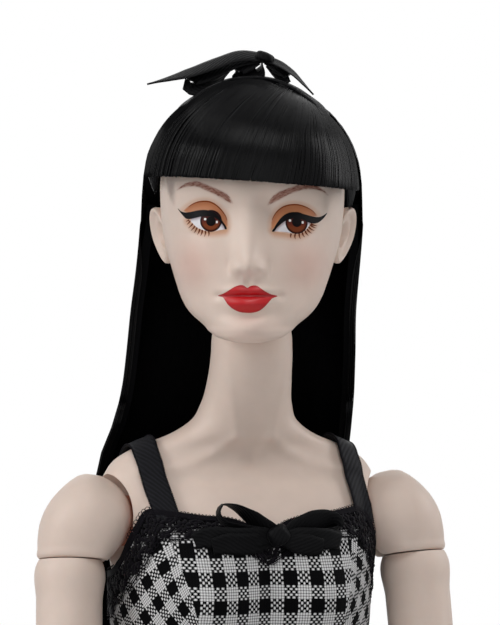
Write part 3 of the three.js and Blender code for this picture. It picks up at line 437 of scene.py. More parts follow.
def white_backdrop(tree, shader_output, strength):
    """Camera, mirror and glass rays see plain white, and other rays the given shader."""
    path = tree.nodes.new("ShaderNodeLightPath")
    most = tree.nodes.new("ShaderNodeMath")
    most.operation = "MAXIMUM"
    tree.links.new(path.outputs["Is Camera Ray"], most.inputs[0])
    tree.links.new(path.outputs["Is Transmission Ray"], most.inputs[1])
    both = tree.nodes.new("ShaderNodeMath")
    both.operation = "MAXIMUM"
    tree.links.new(most.outputs[0], both.inputs[0])
    tree.links.new(path.outputs["Is Glossy Ray"], both.inputs[1])
    blend = tree.nodes.new("ShaderNodeMixShader")
    white = tree.nodes.new("ShaderNodeBackground")
    white.inputs["Color"].default_value = (1, 1, 1, 1)
    white.inputs["Strength"].default_value = strength
    tree.links.new(both.outputs[0], blend.inputs[0])
    tree.links.new(shader_output, blend.inputs[1])
    tree.links.new(white.outputs[0], blend.inputs[2])
    return blend.outputs[0]


world = bpy.data.worlds.new("studio")
world.use_nodes = True
bpy.context.scene.world = world
soft = world.node_tree.nodes["Background"]
soft.inputs["Color"].default_value = (1, 1, 1, 1)
soft.inputs["Strength"].default_value = 0.07
world.node_tree.links.new(white_backdrop(world.node_tree, soft.outputs[0], 1.0),
                          world.node_tree.nodes["World Output"].inputs["Surface"])


def lamp(name, power, size, azimuth, elevation, distance=1.3):
    data = bpy.data.lights.new(name, "AREA")
    data.energy = power
    data.shape = "RECTANGLE"
    data.size, data.size_y = size
    obj = bpy.data.objects.new(name, data)
    a, e = math.radians(azimuth), math.radians(elevation)
    away = Vector((math.sin(a) * math.cos(e), -math.cos(a) * math.cos(e), math.sin(e)))
    obj.location = Vector((0, 0, 0.33)) + away * distance
    obj.rotation_mode = "QUATERNION"
    obj.rotation_quaternion = away.to_track_quat("Z", "Y")
    bpy.context.scene.collection.objects.link(obj)


lamp("key", 5.6, (0.5, 0.8), -86, 24)
lamp("side", 5.6, (0.5, 0.8), 86, 24)
lamp("above", 4.6, (0.7, 0.5), -12, 60)
lamp("front", 4.2, (1.2, 1.2), -14, 10)
lamp("rear", 1.5, (0.6, 0.9), 165, 30)
lamp("spark", 1.8, (0.14, 0.26), -94, 34)

floor_material = material("floor", (0.86, 0.86, 0.87), 0.7)
floor_nodes = Nodes(floor_material)
floor_nodes.to("Base Color", floor_nodes.mix(floor_nodes.noise(6, 3), (0.84, 0.84, 0.85), (0.88, 0.88, 0.88)))
angle = np.arange(96) / 96 * 2 * np.pi
rim_ring = np.c_[np.cos(angle) * 1300, np.sin(angle) * 1300, np.full(96, -0.5)]
floor = make("floor", *loft([rim_ring - [0, 0, 4], rim_ring]), floor_material)


# Head, in its own frame: the neck's pivot is the origin and the face looks along -y

head_place = shift(0, BALANCE - LEAN, NECK) @ turn("Z", -18)

# Height share, half width share, front share, back share
HEAD = np.array([
    (0.002, 0.13, 0.89, -0.66), (0.019, 0.31, 0.945, -0.45), (0.043, 0.42, 0.965, -0.25),
    (0.071, 0.495, 0.965, 0.00), (0.112, 0.625, 0.95, 0.24), (0.132, 0.675, 0.945, 0.33),
    (0.160, 0.725, 0.945, 0.45), (0.194, 0.770, 0.945, 0.57), (0.236, 0.810, 0.955, 0.68),
    (0.281, 0.850, 0.965, 0.77), (0.318, 0.880, 0.965, 0.83), (0.348, 0.905, 0.965, 0.86),
    (0.432, 0.960, 0.955, 0.95), (0.479, 0.978, 0.95, 0.98), (0.525, 0.990, 0.955, 1.01),
    (0.628, 1.000, 0.965, 1.04), (0.683, 0.995, 0.945, 1.03), (0.749, 0.965, 0.875, 1.00),
    (0.814, 0.885, 0.77, 0.90), (0.870, 0.770, 0.625, 0.77), (0.925, 0.600, 0.43, 0.58),
    (0.970, 0.390, 0.20, 0.36), (0.996, 0.170, 0.02, 0.16)])
HEAD_POWER = 2.4

# Height and how far the nose's ridge stands out, and its half width there
NOSE = np.array([
    (8.6, 0.0, 2.6), (9.2, 0.2, 2.4), (9.8, 0.8, 2.25), (10.4, 1.9, 2.2), (11.1, 3.1, 2.25),
    (12.0, 3.8, 2.45), (13.2, 3.95, 2.6), (15, 3.25, 2.7), (17, 2.45, 2.8), (20, 1.6, 2.8),
    (23, 1.0, 2.7), (26, 0.65, 2.9), (30, 0.2, 3.7), (33, 0.0, 4.5)])


def head_row(z):
    """Half width, front, back and middle depth of the head at a height."""
    half, front, rear = hermite(HEAD, (np.asarray(z, float) + CHIN) / HEAD_HEIGHT).T
    middle = -(front - np.maximum(rear, 0)) / 2 + np.minimum(rear, 0) / 2
    return half.T * HEAD_WIDTH, front.T * HEAD_DEPTH, rear.T * HEAD_DEPTH, middle.T * HEAD_DEPTH


def face_out(x, z):
    """How far the features stand out of the plain head."""
    a = np.abs(x)
    out = 0.25 * bump(a, z, 8, 29, 7, 3) - 1.15 * bump(a, z, 9.2, 24.2, 5.0, 2.8)
    out += 1.0 * bump(a, z, 9.3, 22.2, 4.6, 2.5) - 0.9 * bump(a, z, 4.4, 23.4, 1.9, 3.6)
    out -= 0.35 * bump(a, z, 9.6, 19.2, 4.0, 0.8)
    ridge, wide = hermite(NOSE, z).T
    out = out + ridge.T * np.exp(-(a / wide.T) ** 2)
    out += 1.25 * bump(a, z, 2.75, 11.5, 1.2, 1.3) - 0.45 * bump(a, z, 4.2, 12.2, 0.7, 1.7)
    out -= 0.3 * bump(a, z, 1.35, 10.35, 0.7, 0.45)
    out += 0.75 * bump(a, z, 11, 14, 4.6, 4.6) - 0.35 * bump(a, z, 12.5, 6.5, 3.0, 3.5)
    out += 0.95 * bump(x, z, 0, 6, 7.2, 4.4)
    out -= 0.28 * bump(x, z, 0, 9.3, 0.65, 1.1)
    out += 0.16 * bump(a, z, 1.2, 9.2, 0.6, 1.0)
    out += 0.8 * bump(a, z, 2.1, 7.1, 3.1, 0.85) + 1.25 * bump(x, z, 0, 4.2, 3.9, 1.25)
    out -= 0.4 * np.exp(-((z - 5.85) / 0.32) ** 2 - (x / 5.7) ** 4)
    out -= 0.45 * bump(a, z, 6.7, 5.8, 0.9, 0.8)
    out -= 0.8 * bump(x, z, 0, 1.75, 4.2, 1.0) + 0.25 * bump(a, z, 5.6, 2.6, 1.6, 1.6)
    out += 1.15 * bump(x, z, 0, -1.1, 4.2, 2.2)
    return out


def face_y(x, z):
    half, front, _, middle = head_row(z)
    s = np.clip(np.abs(x) / half, 0, 1)
    plain = middle - np.sqrt(np.maximum(1 - s ** HEAD_POWER, 0)) * (front + middle)
    return plain - face_out(x, z) * smooth(0.995, 0.7, s)


def head_rings():
    z = np.r_[np.linspace(0.002 * HEAD_HEIGHT - CHIN, 32, 186), np.linspace(32.6, 0.996 * HEAD_HEIGHT - CHIN, 28)]
    half, _, rear, middle = (v[:, None] for v in head_row(z))
    s = np.sin(np.linspace(-np.pi / 2, np.pi / 2, 281))
    x = s * half
    front_points = np.stack([x, face_y(x, z[:, None] + 0 * x), z[:, None] + 0 * x], -1)
    a = np.linspace(0, np.pi, 60)[1:-1]
    rear_points = np.stack([np.cos(a) * half, middle + np.sin(a) * (rear - middle),
                            z[:, None] + 0 * half * a], -1)
    return np.concatenate([front_points, rear_points], 1)


def ear():
    """A shell with a rolled rim, a bowl and a lobe, facing +x."""
    t = np.arange(72) / 72 * 2 * np.pi
    rings = []
    for r, h in ((0.3, -2.4), (0.8, -2.0), (0.97, -0.6), (1.0, 0.35), (0.97, 0.9), (0.9, 1.12), (0.82, 1.0),
                 (0.74, 0.5), (0.66, 0.3), (0.56, 0.42), (0.46, 0.2), (0.36, -0.5), (0.24, -0.95), (0.08, -1.05)):
        lower = smooth(0.2, -1, np.sin(t))
        y = r * np.cos(t) * (4.0 - 1.3 * lower) + 0.5 * (1 - r)
        z = r * np.sin(t) * 6.4 + 0.2
        level = h + 0.5 * lower * (h > -0.5) * (1 - abs(r - 0.5))
        rings.append(np.stack([0 * y + level, -y, z], -1))
    return loft(rings)


head_obj = make("head_skin", *loft(head_rings()))
ears = []
for _, sign in SIDES:
    seat = shift(sign * 19.4, 2.3, 19.0) @ turn("Y", sign * 13) @ turn("Z", -sign * 26) @ turn("X", -9)
    points, faces = mirrored(*ear(), sign)
    ears.append(cutter(points, faces, seat))
combined(head_obj, ears, "UNION")
socket = NECK_RADIUS + 0.4
flare = [(2 * -CHIN, socket + CHIN * math.tan(math.radians(24))), (0, socket)]
dome = [(socket * math.sin(t), socket * math.cos(t)) for t in np.linspace(0.1, 1.5, 12)]
profile = np.array(flare + dome)
bowl = oval(profile[:, 0], profile[:, 1], profile[:, 1], profile[:, 1], 0, 0, 64, 2)
combined(head_obj, [cutter(*loft(bowl)), cutter(*rod("z", 2.7, 6, 16.2)), cutter(*rod("z", 4.3, 14.3, 16.3))],
         "DIFFERENCE")


# Painting of the face, drawn on a grid of 0.22 mm

def drawn(*points):
    p = np.array(points, float)
    return np.stack([(p[:, 0] - 249.1) * 0.2125, (322.75 - p[:, 1]) * 0.2155], 1)


EYES = [
    dict(white=drawn((190.5, 221), (195.4, 227), (199.7, 229.8), (205.1, 231.8), (211.1, 232.3), (216.5, 231.8),
                     (221.9, 231), (226, 230.3), (221, 221), (215, 216), (205, 214.5), (196, 217)),
         line=drawn((176.6, 209), (180.7, 212.2), (184, 213.2), (188.3, 213.2), (193.2, 212.4), (198.6, 211.5),
                    (205.1, 211.3), (210, 212.2), (213.8, 213.9), (217.6, 216.4), (221.4, 220.4), (224.6, 224.8),
                    (226.8, 228.4), (227.2, 230.2), (226, 230.6), (224, 227.2), (221.2, 224), (218.4, 221.2),
                    (215, 218.9), (211, 217.8), (206, 217.4), (200.2, 217.9), (195.4, 219), (191, 219.8),
                    (186.7, 219.8), (184.4, 218.6), (182.3, 216.4), (180, 213.7)),
         lid=drawn((183, 211.5), (187, 208.2), (192.1, 205.4), (197.5, 203.3), (203, 202.7), (208.4, 203),
                   (213.8, 205), (219.2, 209), (223.5, 213.9), (226.4, 218.4), (227.6, 222.4), (227.8, 227),
                   (226, 229), (220, 221), (212, 214.5), (200, 213), (188, 214.5)),
         crease=drawn((188, 208), (192.1, 205.5), (197.5, 203.5), (203, 202.8), (208.4, 203.1), (213.8, 205.1),
                      (219.2, 209.1), (223.5, 214), (226.3, 218.5), (227.3, 221.5)),
         lower=drawn((189, 221), (192.2, 224.2), (196, 227.9), (201, 230.6), (207, 232.2), (213, 232.4),
                     (219, 231.8), (224, 231)),
         tips=drawn((185.6, 222.3), (186.4, 225.6), (188, 228.9), (190.6, 231.6), (193.8, 233.9), (197.2, 235.7),
                    (200.6, 236.9), (204.6, 237.6), (208.8, 237.4)),
         iris=drawn((211.3, 222.1))[0], pupil=drawn((211.4, 222.6))[0],
         lights=drawn((205.5, 220.4), (217.3, 223.3)),
         brow=drawn((176.4, 190.7), (180.2, 187.7), (184.5, 185.3), (189.4, 183.9), (194.3, 183), (199.7, 183.7),
                    (205.1, 186.1), (211.1, 188.6), (217, 191), (222.5, 193.4), (226.8, 195.9), (229.5, 198.9),
                    (232.8, 204.8), (230, 204), (226.3, 202.4), (221.4, 199.4), (216, 196.4), (210, 193.7),
                    (204.6, 191.3), (199.7, 188.8), (194.3, 187.7), (188.9, 187.7), (183.4, 188.3), (179.1, 189.9))),
    dict(white=drawn((273.5, 232.3), (280.9, 226), (286, 218.5), (294, 216.5), (304, 219), (309.6, 224),
                     (306.9, 229), (303.1, 232.2), (298.8, 234.1), (294.5, 234.4), (289.6, 233.8), (282.5, 232.9)),
         line=drawn((326.4, 213.4), (322.6, 216.1), (318.8, 217.7), (314, 217.7), (308.5, 216.6), (303.1, 215.2),
                    (297.7, 213.8), (292.8, 213.5), (287.9, 214.5), (284.2, 216.4), (280.4, 219.9), (277.1, 224.2),
                    (274.4, 228.6), (272.2, 232.9), (273.6, 233), (276.6, 229.4), (279.6, 226.6), (283, 223.8),
                    (287, 221.4), (292, 219.8), (297, 219.5), (302, 220.6), (306.4, 222.7), (310.7, 224.2),
                    (316.1, 223.9), (320.5, 221.2), (324.3, 217)),
         lid=drawn((271.4, 231), (271.5, 223.8), (273.2, 218.4), (277, 212.8), (282, 209), (287.9, 206.8),
                   (294.5, 206), (301, 206.8), (306.9, 209), (312.3, 212.2), (316.5, 216.5), (308, 219),
                   (296, 216.5), (284, 219), (277, 227)),
         crease=drawn((272, 221.5), (273.4, 218.3), (277.1, 212.9), (282, 209.1), (287.9, 206.9), (294.5, 206.1),
                      (301, 206.9), (306.9, 209.1), (312.3, 212.3), (315, 215.2)),
         lower=drawn((276, 232.8), (282.5, 233.5), (289, 234.5), (295, 235), (300, 234.4), (304.5, 231.9),
                     (308, 228.6), (310.4, 224.8)),
         tips=drawn((290.8, 239), (295.2, 240), (300.2, 239.6), (304.4, 238), (308, 236.4), (311.2, 234.2),
                    (313.8, 231.5), (315.6, 228.9), (316.4, 226.6)),
         iris=drawn((296.3, 224.1))[0], pupil=drawn((296.6, 223.4))[0],
         lights=drawn((289.8, 221.9), (302.3, 223.6)),
         brow=drawn((268.2, 206.4), (270.1, 202.1), (273.3, 197.8), (278.2, 194.5), (284.7, 191.8), (291.2, 189.4),
                    (297.7, 187.2), (303.1, 185.3), (308, 184.5), (312.3, 185.6), (317.2, 187.7), (322.1, 191),
                    (327.2, 195.9), (323.7, 193.6), (318.8, 191.5), (313.4, 190.4), (308, 190.4), (302, 191.3),
                    (296.1, 193.4), (290.1, 195.3), (284.7, 198.3), (279.3, 201.3), (273.3, 204.3)))]
LIPS = drawn((218.2, 295.5), (223.4, 293.6), (228.9, 290.6), (234.3, 287.3), (238.6, 285.5), (242.4, 285),
             (245.4, 286.2), (247.9, 287.8), (250.5, 286.3), (253.8, 285.4), (257, 285.7), (261.4, 288.4),
             (266.3, 291.7), (271.1, 294.1), (277.6, 295.8), (272.2, 298.2), (269, 301.8), (264.6, 306.6),
             (259.2, 310.4), (252.7, 312.1), (246.2, 312.2), (239.7, 311.3), (234.3, 308.9), (229.4, 305.1),
             (225.6, 300.2), (223.2, 297))


def inside(x, z, outline):
    found = np.zeros(x.shape, bool)
    for (x0, z0), (x1, z1) in zip(outline, np.roll(outline, -1, 0)):
        if z0 != z1:
            found ^= ((z0 > z) != (z1 > z)) & (x < (x1 - x0) * (z - z0) / (z1 - z0) + x0)
    return found


def distance(x, z, line):
    least = np.full(x.shape, 1e9)
    for (x0, z0), (x1, z1) in zip(line[:-1], line[1:]):
        d = np.array([x1 - x0, z1 - z0])
        t = np.clip(((x - x0) * d[0] + (z - z0) * d[1]) / (d @ d), 0, 1)
        least = np.minimum(least, np.hypot(x - x0 - t * d[0], z - z0 - t * d[1]))
    return least


def soft_mask(x, z, outline, width):
    """1 inside an outline and 0 outside, with a soft edge."""
    away = distance(x, z, np.vstack([outline, outline[:1]]))
    return smooth(-width, width, np.where(inside(x, z, outline), away, -away))


def laid(colour, over, mask):
    return colour + (np.array(over) - colour) * mask[..., None]


def skin_paint(points):
    """The skin's colour with its blush, lids, lower lash shading and brows."""
    x, y, z = points.T
    colour = np.tile(np.array(SKIN), (len(points), 1))
    facing = (y < -3).astype(float)
    blush = 0.5 * bump(np.abs(x), z, 12.2, 12.5, 4.4, 5.2) + 0.16 * bump(x, z, 0, -2, 5, 3)
    colour = laid(colour, linear(216, 162, 148), facing * 0.8 * blush)
    near = np.flatnonzero((y < -8) & (z > 14) & (z < 33))
    u, v = x[near], z[near]
    part = colour[near]
    for eye in EYES:
        shadow = distance(u, v, eye["lower"])
        part = laid(part, linear(198, 138, 96), 0.72 * smooth(1.9, 0.3, shadow))
        part = laid(part, linear(206, 154, 118), 0.5 * smooth(1.3, 0.2, distance(u, v, eye["lid"])))
        lid = soft_mask(u, v, eye["lid"], 0.16)
        part = laid(part, linear(192, 124, 80), lid)
        part = laid(part, linear(164, 92, 54), lid * smooth(1.5, 0.1, distance(u, v, eye["crease"])) * 0.55)
        part = laid(part, linear(166, 118, 102), 0.9 * soft_mask(u, v, eye["brow"], 0.3))
    part = laid(part, linear(205, 140, 128), 0.35 * smooth(0.8, 0.1, distance(u, v, LIPS)))
    colour[near] = part
    return colour


def paint(obj, colours):
    attribute = obj.data.color_attributes.new("paint", "FLOAT_COLOR", "POINT")
    attribute.data.foreach_set("color", np.c_[colours, np.ones(len(colours))].astype(np.float32).ravel())


def coordinates(obj):
    co = np.empty(len(obj.data.vertices) * 3)
    obj.data.vertices.foreach_get("co", co)
    return co.reshape(-1, 3) / MM


def settle(obj, matrix):
    """Moves a mesh made in a local frame, in millimetres, to its place."""
    scaled = matrix.copy()
    scaled[:3, 3] *= MM
    obj.data.transform(Matrix(scaled.tolist()))
    return obj


paint(head_obj, skin_paint(coordinates(head_obj)))
head_obj.data.materials.append(face_skin)
settle(head_obj, head_place)
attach(head_obj, "head")
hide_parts("head")


def decal(outline, lift, colour, spacing=0.3):
    """A thin painted patch: points in the head's frame, faces and a colour for each point."""
    outline = np.asarray(outline)
    low, high = outline.min(0), outline.max(0)
    gx, gz = np.meshgrid(np.arange(low[0], high[0], spacing), np.arange(low[1], high[1], spacing))
    gx, gz = gx.ravel(), gz.ravel()
    keep = inside(gx, gz, outline)
    keep &= distance(gx, gz, np.vstack([outline, outline[:1]])) > 0.35 * spacing
    flat = [Vector(p) for p in outline] + [Vector(p) for p in zip(gx[keep], gz[keep])]
    edges = [(i, (i + 1) % len(outline)) for i in range(len(outline))]
    got = delaunay_2d_cdt(flat, edges, [], 1, 1e-6)
    p = np.array([tuple(v) for v in got[0]])
    points = np.stack([p[:, 0], face_y(p[:, 0], p[:, 1]) - lift, p[:, 1]], 1)
    shade = colour(p) if callable(colour) else np.tile(colour, (len(p), 1))
    return points, [list(f) for f in got[2]], shade


def stroke(line, widths, lift, colour):
    """A painted line that follows points and tapers."""
    line = np.asarray(line, float)
    along = np.gradient(line, axis=0)
    side = np.stack([-along[:, 1], along[:, 0]], 1) / (np.linalg.norm(along, axis=1, keepdims=True) + 1e-9)
    widths = np.asarray(widths)[:, None] / 2
    p = np.vstack([line + side * widths, line - side * widths])
    n = len(line)
    faces = [[i, i + 1, n + i + 1, n + i] for i in range(n - 1)]
    points = np.stack([p[:, 0], face_y(p[:, 0], p[:, 1]) - lift, p[:, 1]], 1)
    return points, faces, np.tile(colour, (len(p), 1))


def iris_colour(centre):
    def colour(p):
        d = (p - centre) / 2.32
        r = np.hypot(*d.T)
        shade = np.tile(linear(92, 36, 30), (len(p), 1))
        glow = smooth(0.1, -0.55, d[:, 1]) * smooth(0.98, 0.75, r)
        shade = laid(shade, linear(140, 74, 40), 0.65 * glow)
        shade = laid(shade, linear(26, 10, 11), smooth(0.74, 0.96, r))
        return laid(shade, linear(30, 12, 14), smooth(-0.1, 0.65, d[:, 1]))
    return colour


def circle(centre, radius, count=40, tall=1.0):
    t = np.arange(count) / count * 2 * np.pi
    return np.stack([centre[0] + radius * np.cos(t), centre[1] + radius * tall * np.sin(t)], 1)


def ellipse_shade(p):
    return np.tile(linear(236, 232, 236), (len(p), 1))


def eye_white_with_shadow(eye):
    def colour(p):
        under = distance(p[:, 0], p[:, 1], eye["line"])
        # Painted shadow of the upper lid: the white is painted mauve-grey just under the liner.
        return laid(ellipse_shade(p), linear(150, 128, 138), 0.75 * smooth(0.75, 0.0, under))
    return colour


patches = []
for eye in EYES:
    patches.append(decal(curve(eye["white"], 60, True), 0.035, eye_white_with_shadow(eye)))
    rim = curve(eye["lower"][:-1], 24)
    patches.append(stroke(rim, np.full(24, 0.16), 0.05, linear(232, 196, 176)))
    patches.append(decal(circle(eye["iris"], 2.32), 0.06, iris_colour(eye["iris"]), 0.2))
    patches.append(decal(circle(eye["pupil"], 1.02, 28), 0.08, linear(10, 6, 7)))
    for k, light in enumerate(eye["lights"]):
        patches.append(decal(circle(light, 0.27 - 0.04 * k, 18, 1.0 + 0.25 * k), 0.12,
                             linear(244, 240, 236), 0.15))
    patches.append(decal(curve(eye["line"], 110, True), 0.10, linear(8, 6, 8)))
    arch = curve(eye["crease"], 40)
    thick = 0.08 + 0.22 * np.sin(np.linspace(0.15, np.pi - 0.1, 40))
    patches.append(stroke(arch, thick, 0.045, linear(134, 66, 34)))
    base = curve(eye["lower"], 60)
    for tip in eye["tips"]:
        root = base[np.argmin(np.hypot(*(base - tip).T))]
        t = np.linspace(-0.05, 1, 6)[:, None]
        bend = np.array([0.10, 0.04]) * np.sin(t * np.pi) * (1 if tip[0] < 0 else -1)
        patches.append(stroke(root + (tip - root) * t + bend, [0.32, 0.34, 0.30, 0.23, 0.14, 0.05], 0.06,
                              linear(104, 52, 30)))
    low, high = eye["brow"].min(0), eye["brow"].max(0)
    outer = -1 if eye["iris"][0] < 0 else 1
    spots = []
    while len(spots) < 170:
        spot = low + (high - low) * rng.random(2)
        if inside(*[np.array([v]) for v in spot], eye["brow"])[0]:
            spots.append(spot)
    for spot in spots:
        inner = 1 - abs(spot[0] - (low[0] if outer > 0 else high[0])) / (high[0] - low[0])
        lean = math.radians(62 * inner ** 1.5 - 18 + rng.normal(0, 9))
        way = np.array([outer * math.cos(lean), math.sin(lean)]) * rng.uniform(0.45, 0.85)
        t = np.linspace(-0.5, 0.5, 4)[:, None]
        patches.append(stroke(spot + way * t, [0.02, 0.07, 0.06, 0.015], 0.03,
                              linear(*(np.array((132, 82, 68)) + rng.normal(0, 10)))))
points, faces = joined([(p, f) for p, f, _ in patches])
face_paint = material("face_paint", (0.5, 0.5, 0.5), 0.45, Specular_IOR_Level=0.06)
paint_nodes = Nodes(face_paint)
paint_nodes.to("Base Color", paint_nodes.attribute("paint").outputs["Color"])
paint_nodes.bump(paint_nodes.noise(4000, 2), 0.1, 0.00001)
eyes = make("face_painting", points, faces, face_paint)
paint(eyes, np.vstack([c for _, _, c in patches]))
settle(eyes, head_place)
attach(eyes, "head")


def lip_colour(p):
    shade = np.tile(linear(190, 2, 14), (len(p), 1))
    shade = laid(shade, linear(110, 0, 8), 0.55 * smooth(0.36, 0.0, np.abs(p[:, 1] - 5.85)))
    edge = distance(p[:, 0], p[:, 1], np.vstack([LIPS, LIPS[:1]]))
    return laid(shade, linear(150, 3, 12), 0.5 * smooth(0.5, 0.0, edge))


lip_paint = material("lip_paint", linear(196, 8, 18), 0.36, Specular_IOR_Level=0.35, Coat_Weight=0.2,
                     Coat_Roughness=0.25)
lip_nodes = Nodes(lip_paint)
lip_nodes.to("Base Color", lip_nodes.attribute("paint").outputs["Color"])
lip_nodes.bump(lip_nodes.noise(1500, 2), 0.06, 0.00003)
points, faces, shade = decal(curve(LIPS, 120, True), 0.05, lip_colour, 0.22)
lips = make("lips", points, faces, lip_paint)
paint(lips, shade)
settle(lips, head_place)
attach(lips, "head")


# Hair: dark forms under combed strands

# Drop share below the crown's top, half width share, depth share
HAIR = np.array([
    (0.000, 0.02, 0.02), (0.018, 0.190, 0.200), (0.055, 0.350, 0.380), (0.110, 0.500, 0.540),
    (0.180, 0.655, 0.690), (0.250, 0.760, 0.810), (0.340, 0.850, 0.915), (0.430, 0.905, 0.975),
    (0.520, 0.932, 1.000), (0.640, 0.945, 0.995), (0.800, 0.965, 0.985), (2.4, 0.965, 0.985)])
# Rise share, half width, back and edge shares, and how far it has turned with the head
CURTAIN = np.array([
    (0.00, 1.06, 0.94, 0.62, 0), (0.18, 1.10, 0.95, 0.60, 0), (0.35, 1.12, 0.96, 0.60, 0),
    (0.46, 1.14, 0.95, 0.58, 0), (0.52, 1.13, 0.94, 0.54, 0), (0.57, 1.11, 0.94, 0.46, 0.1),
    (0.63, 1.05, 0.95, 0.34, 0.3), (0.70, 1.01, 0.97, 0.30, 0.6), (0.79, 0.985, 0.99, 0.30, 0.9),
    (0.88, 0.97, 1.00, 0.30, 1), (1.00, 0.962, 1.00, 0.30, 1), (1.4, 0.962, 1.00, 0.30, 1)])
CROWN_TOP, HAIR_SPAN, HAIR_HALF, HAIR_DEPTH, HAIR_Y = 53.5, 42.5, 25.4, 25.5, -0.44
HAIR_END, HAIR_TOP = 262, 371
HAIR_MIDDLE = np.array([0, HAIR_Y, 25.0])
HAIR_POWER, CROWN_JOIN, HAIR_SPLIT = 2.15, 374.0, 335.0


def hair_size(z):
    half, depth = hermite(HAIR, np.clip((CROWN_TOP - z) / HAIR_SPAN, 0, 2.4)).T
    return half.T * HAIR_HALF, depth.T * HAIR_DEPTH


def form_size(p):
    """1 on the hair's outer form, less inside it."""
    half, depth = hair_size(p[..., 2])
    return (np.abs(p[..., 0]) / half) ** HAIR_POWER + (np.abs(p[..., 1] - HAIR_Y) / depth) ** HAIR_POWER


def sleek(obj, share=0.75):
    """Turns the normals of strands towards those of the form that they lie on."""
    p = coordinates(obj)
    slope = np.stack([form_size(p + d) - form_size(p - d) for d in np.eye(3) * 0.05], -1)
    slope /= np.linalg.norm(slope, axis=-1, keepdims=True)
    own = np.empty(p.size)
    obj.data.vertices.foreach_get("normal", own)
    mixed = own.reshape(-1, 3) * (1 - share) + slope * share
    mixed /= np.linalg.norm(mixed, axis=-1, keepdims=True)
    obj.data.normals_split_custom_set_from_vertices(mixed.tolist())


def on_hair(way, lift=0.0):
    """Points of the hair's outer form in given directions from its middle, in the head's frame."""
    way = way / np.linalg.norm(way, axis=-1, keepdims=True)
    low, high = np.full(way.shape[:-1], 5.0), np.full(way.shape[:-1], 48.0)
    for _ in range(22):
        mid = (low + high) / 2
        p = HAIR_MIDDLE + way * mid[..., None]
        out = (form_size(p) > 1) | (p[..., 2] > CROWN_TOP)
        low, high = np.where(out, low, mid), np.where(out, mid, high)
    return HAIR_MIDDLE + way * (low + lift)[..., None]


def combed(starts, ends, steps, through=None, weight=0.5):
    """Strands over the form between two sets of surface points, bent towards a third."""
    a, b = starts - HAIR_MIDDLE, ends - HAIR_MIDDLE
    a, b = (v / np.linalg.norm(v, axis=-1, keepdims=True) for v in (a, b))
    t = np.append(np.linspace(0, 0.985, steps - 1), 1)[None, :, None]
    angle = np.arccos(np.clip((a * b).sum(-1), -1, 1))[:, None, None] + 1e-6
    way = (np.sin((1 - t) * angle) * a[:, None] + np.sin(t * angle) * b[:, None]) / np.sin(angle)
    if through is not None:
        c = through - HAIR_MIDDLE
        c = c / np.linalg.norm(c, axis=-1, keepdims=True)
        way = way + (c[:, None] - way) * (weight * np.sin(np.pi * t) ** 1.3)
    return way


def hair_material(name):
    made = material(name, linear(4, 4, 5), 0.3, Specular_IOR_Level=0.08, Anisotropic=0.4)
    n = Nodes(made)
    tone = n.attribute("tone").outputs["Fac"]
    n.to("Base Color", n.mix(tone, linear(1, 1, 2), linear(7, 7, 9)))
    n.to("Roughness", n.math("ADD", 0.17, n.math("MULTIPLY", tone, 0.12)))
    return made


hair_black = hair_material("hair")
hair_under = material("hair_under", linear(3, 3, 4), 0.5, Specular_IOR_Level=0.02)
under_nodes = Nodes(hair_under)
comb = under_nodes.attribute("comb")
stretched = under_nodes.add("ShaderNodeMapping", {"Vector": comb.outputs["Vector"]})
stretched.inputs["Scale"].default_value = (5.0, 0.05, 1)
fine = under_nodes.noise(1.0, 4, stretched.outputs[0])
under_nodes.bump(fine, 0.6, 0.0003)
under_nodes.to("Base Color", under_nodes.mix(fine, linear(1, 1, 2), linear(5, 5, 6)))


def strand_tones(strands):
    return np.clip(0.4 + rng.normal(0, 0.28, strands), 0, 1)


def toned(obj, tones, per_strand):
    """A tone for each strand as a vertex attribute."""
    attribute = obj.data.attributes.new("tone", "FLOAT", "POINT")
    attribute.data.foreach_set("value", np.repeat(tones, per_strand).astype(np.float32))
    return obj


def combs(obj, u, v):
    attribute = obj.data.attributes.new("comb", "FLOAT_VECTOR", "POINT")
    attribute.data.foreach_set("vector", np.c_[u, v, 0 * u].astype(np.float32).ravel())


def taper(steps, radius, root=0.55, tip=0.35):
    t = np.linspace(0, 1, steps)
    shape = np.minimum(1, root + (1 - root) * t / 0.12) * np.minimum(1, tip + (1 - tip) * (1 - t) / 0.06)
    return radius[:, None] * shape


WHORL = on_hair(np.array([[14.2, -7.5, 22.4]]))[0]
PARTING_TOP = on_hair(np.array([[1.5, -3.0, 28.0]]))[0]


def parting(share):
    way = PARTING_TOP + (WHORL - PARTING_TOP) * share[:, None] - HAIR_MIDDLE
    return on_hair(way)


def fringe_edge(x):
    return np.interp(x, [-21, 0, 21], [31.5, 30.0, 28.6])


# The fringe: strands sweep left from the whorl and fall straight on the right
FRINGE = 1500
x_end = np.sort(rng.uniform(-23.2, 23.2, FRINGE))
z_end = fringe_edge(x_end) + rng.normal(0, 0.08, FRINGE)
half, depth = hair_size(z_end)
y_end = HAIR_Y - depth * (1 - np.clip(np.abs(x_end) / half, 0, 0.999) ** HAIR_POWER) ** (1 / HAIR_POWER)
ends = np.stack([x_end, y_end, z_end], 1)
share = np.clip((x_end + 23.2) / 46.4 + rng.normal(0, 0.05, FRINGE), 0, 1) ** 0.8
starts = parting(share)
steps = 16
lean = np.stack([x_end * 0.96 + 2.2 * (x_end < 8), y_end, z_end + 10.5], 1)
way = combed(starts, ends, steps, lean, 0.45)
lift = -0.55 + 0.55 * rng.random(FRINGE)[:, None] + 0.25 * np.sin(np.linspace(0, np.pi, steps))[None]
clump = 0.22 * np.sin(share * 260 + 5 * np.sin(share * 37))[:, None] * np.linspace(0.2, 1, steps)[None]
paths = on_hair(way, lift + 0.5 * clump)
radius = rng.uniform(0.10, 0.17, FRINGE)
points, faces = tubes(paths, taper(steps, radius, 0.55, 0.85), 3, 0.7, HAIR_MIDDLE)
fringe = toned(make("hair_fringe_strands", points, faces, hair_black), strand_tones(FRINGE), steps * 3)
sleek(fringe)


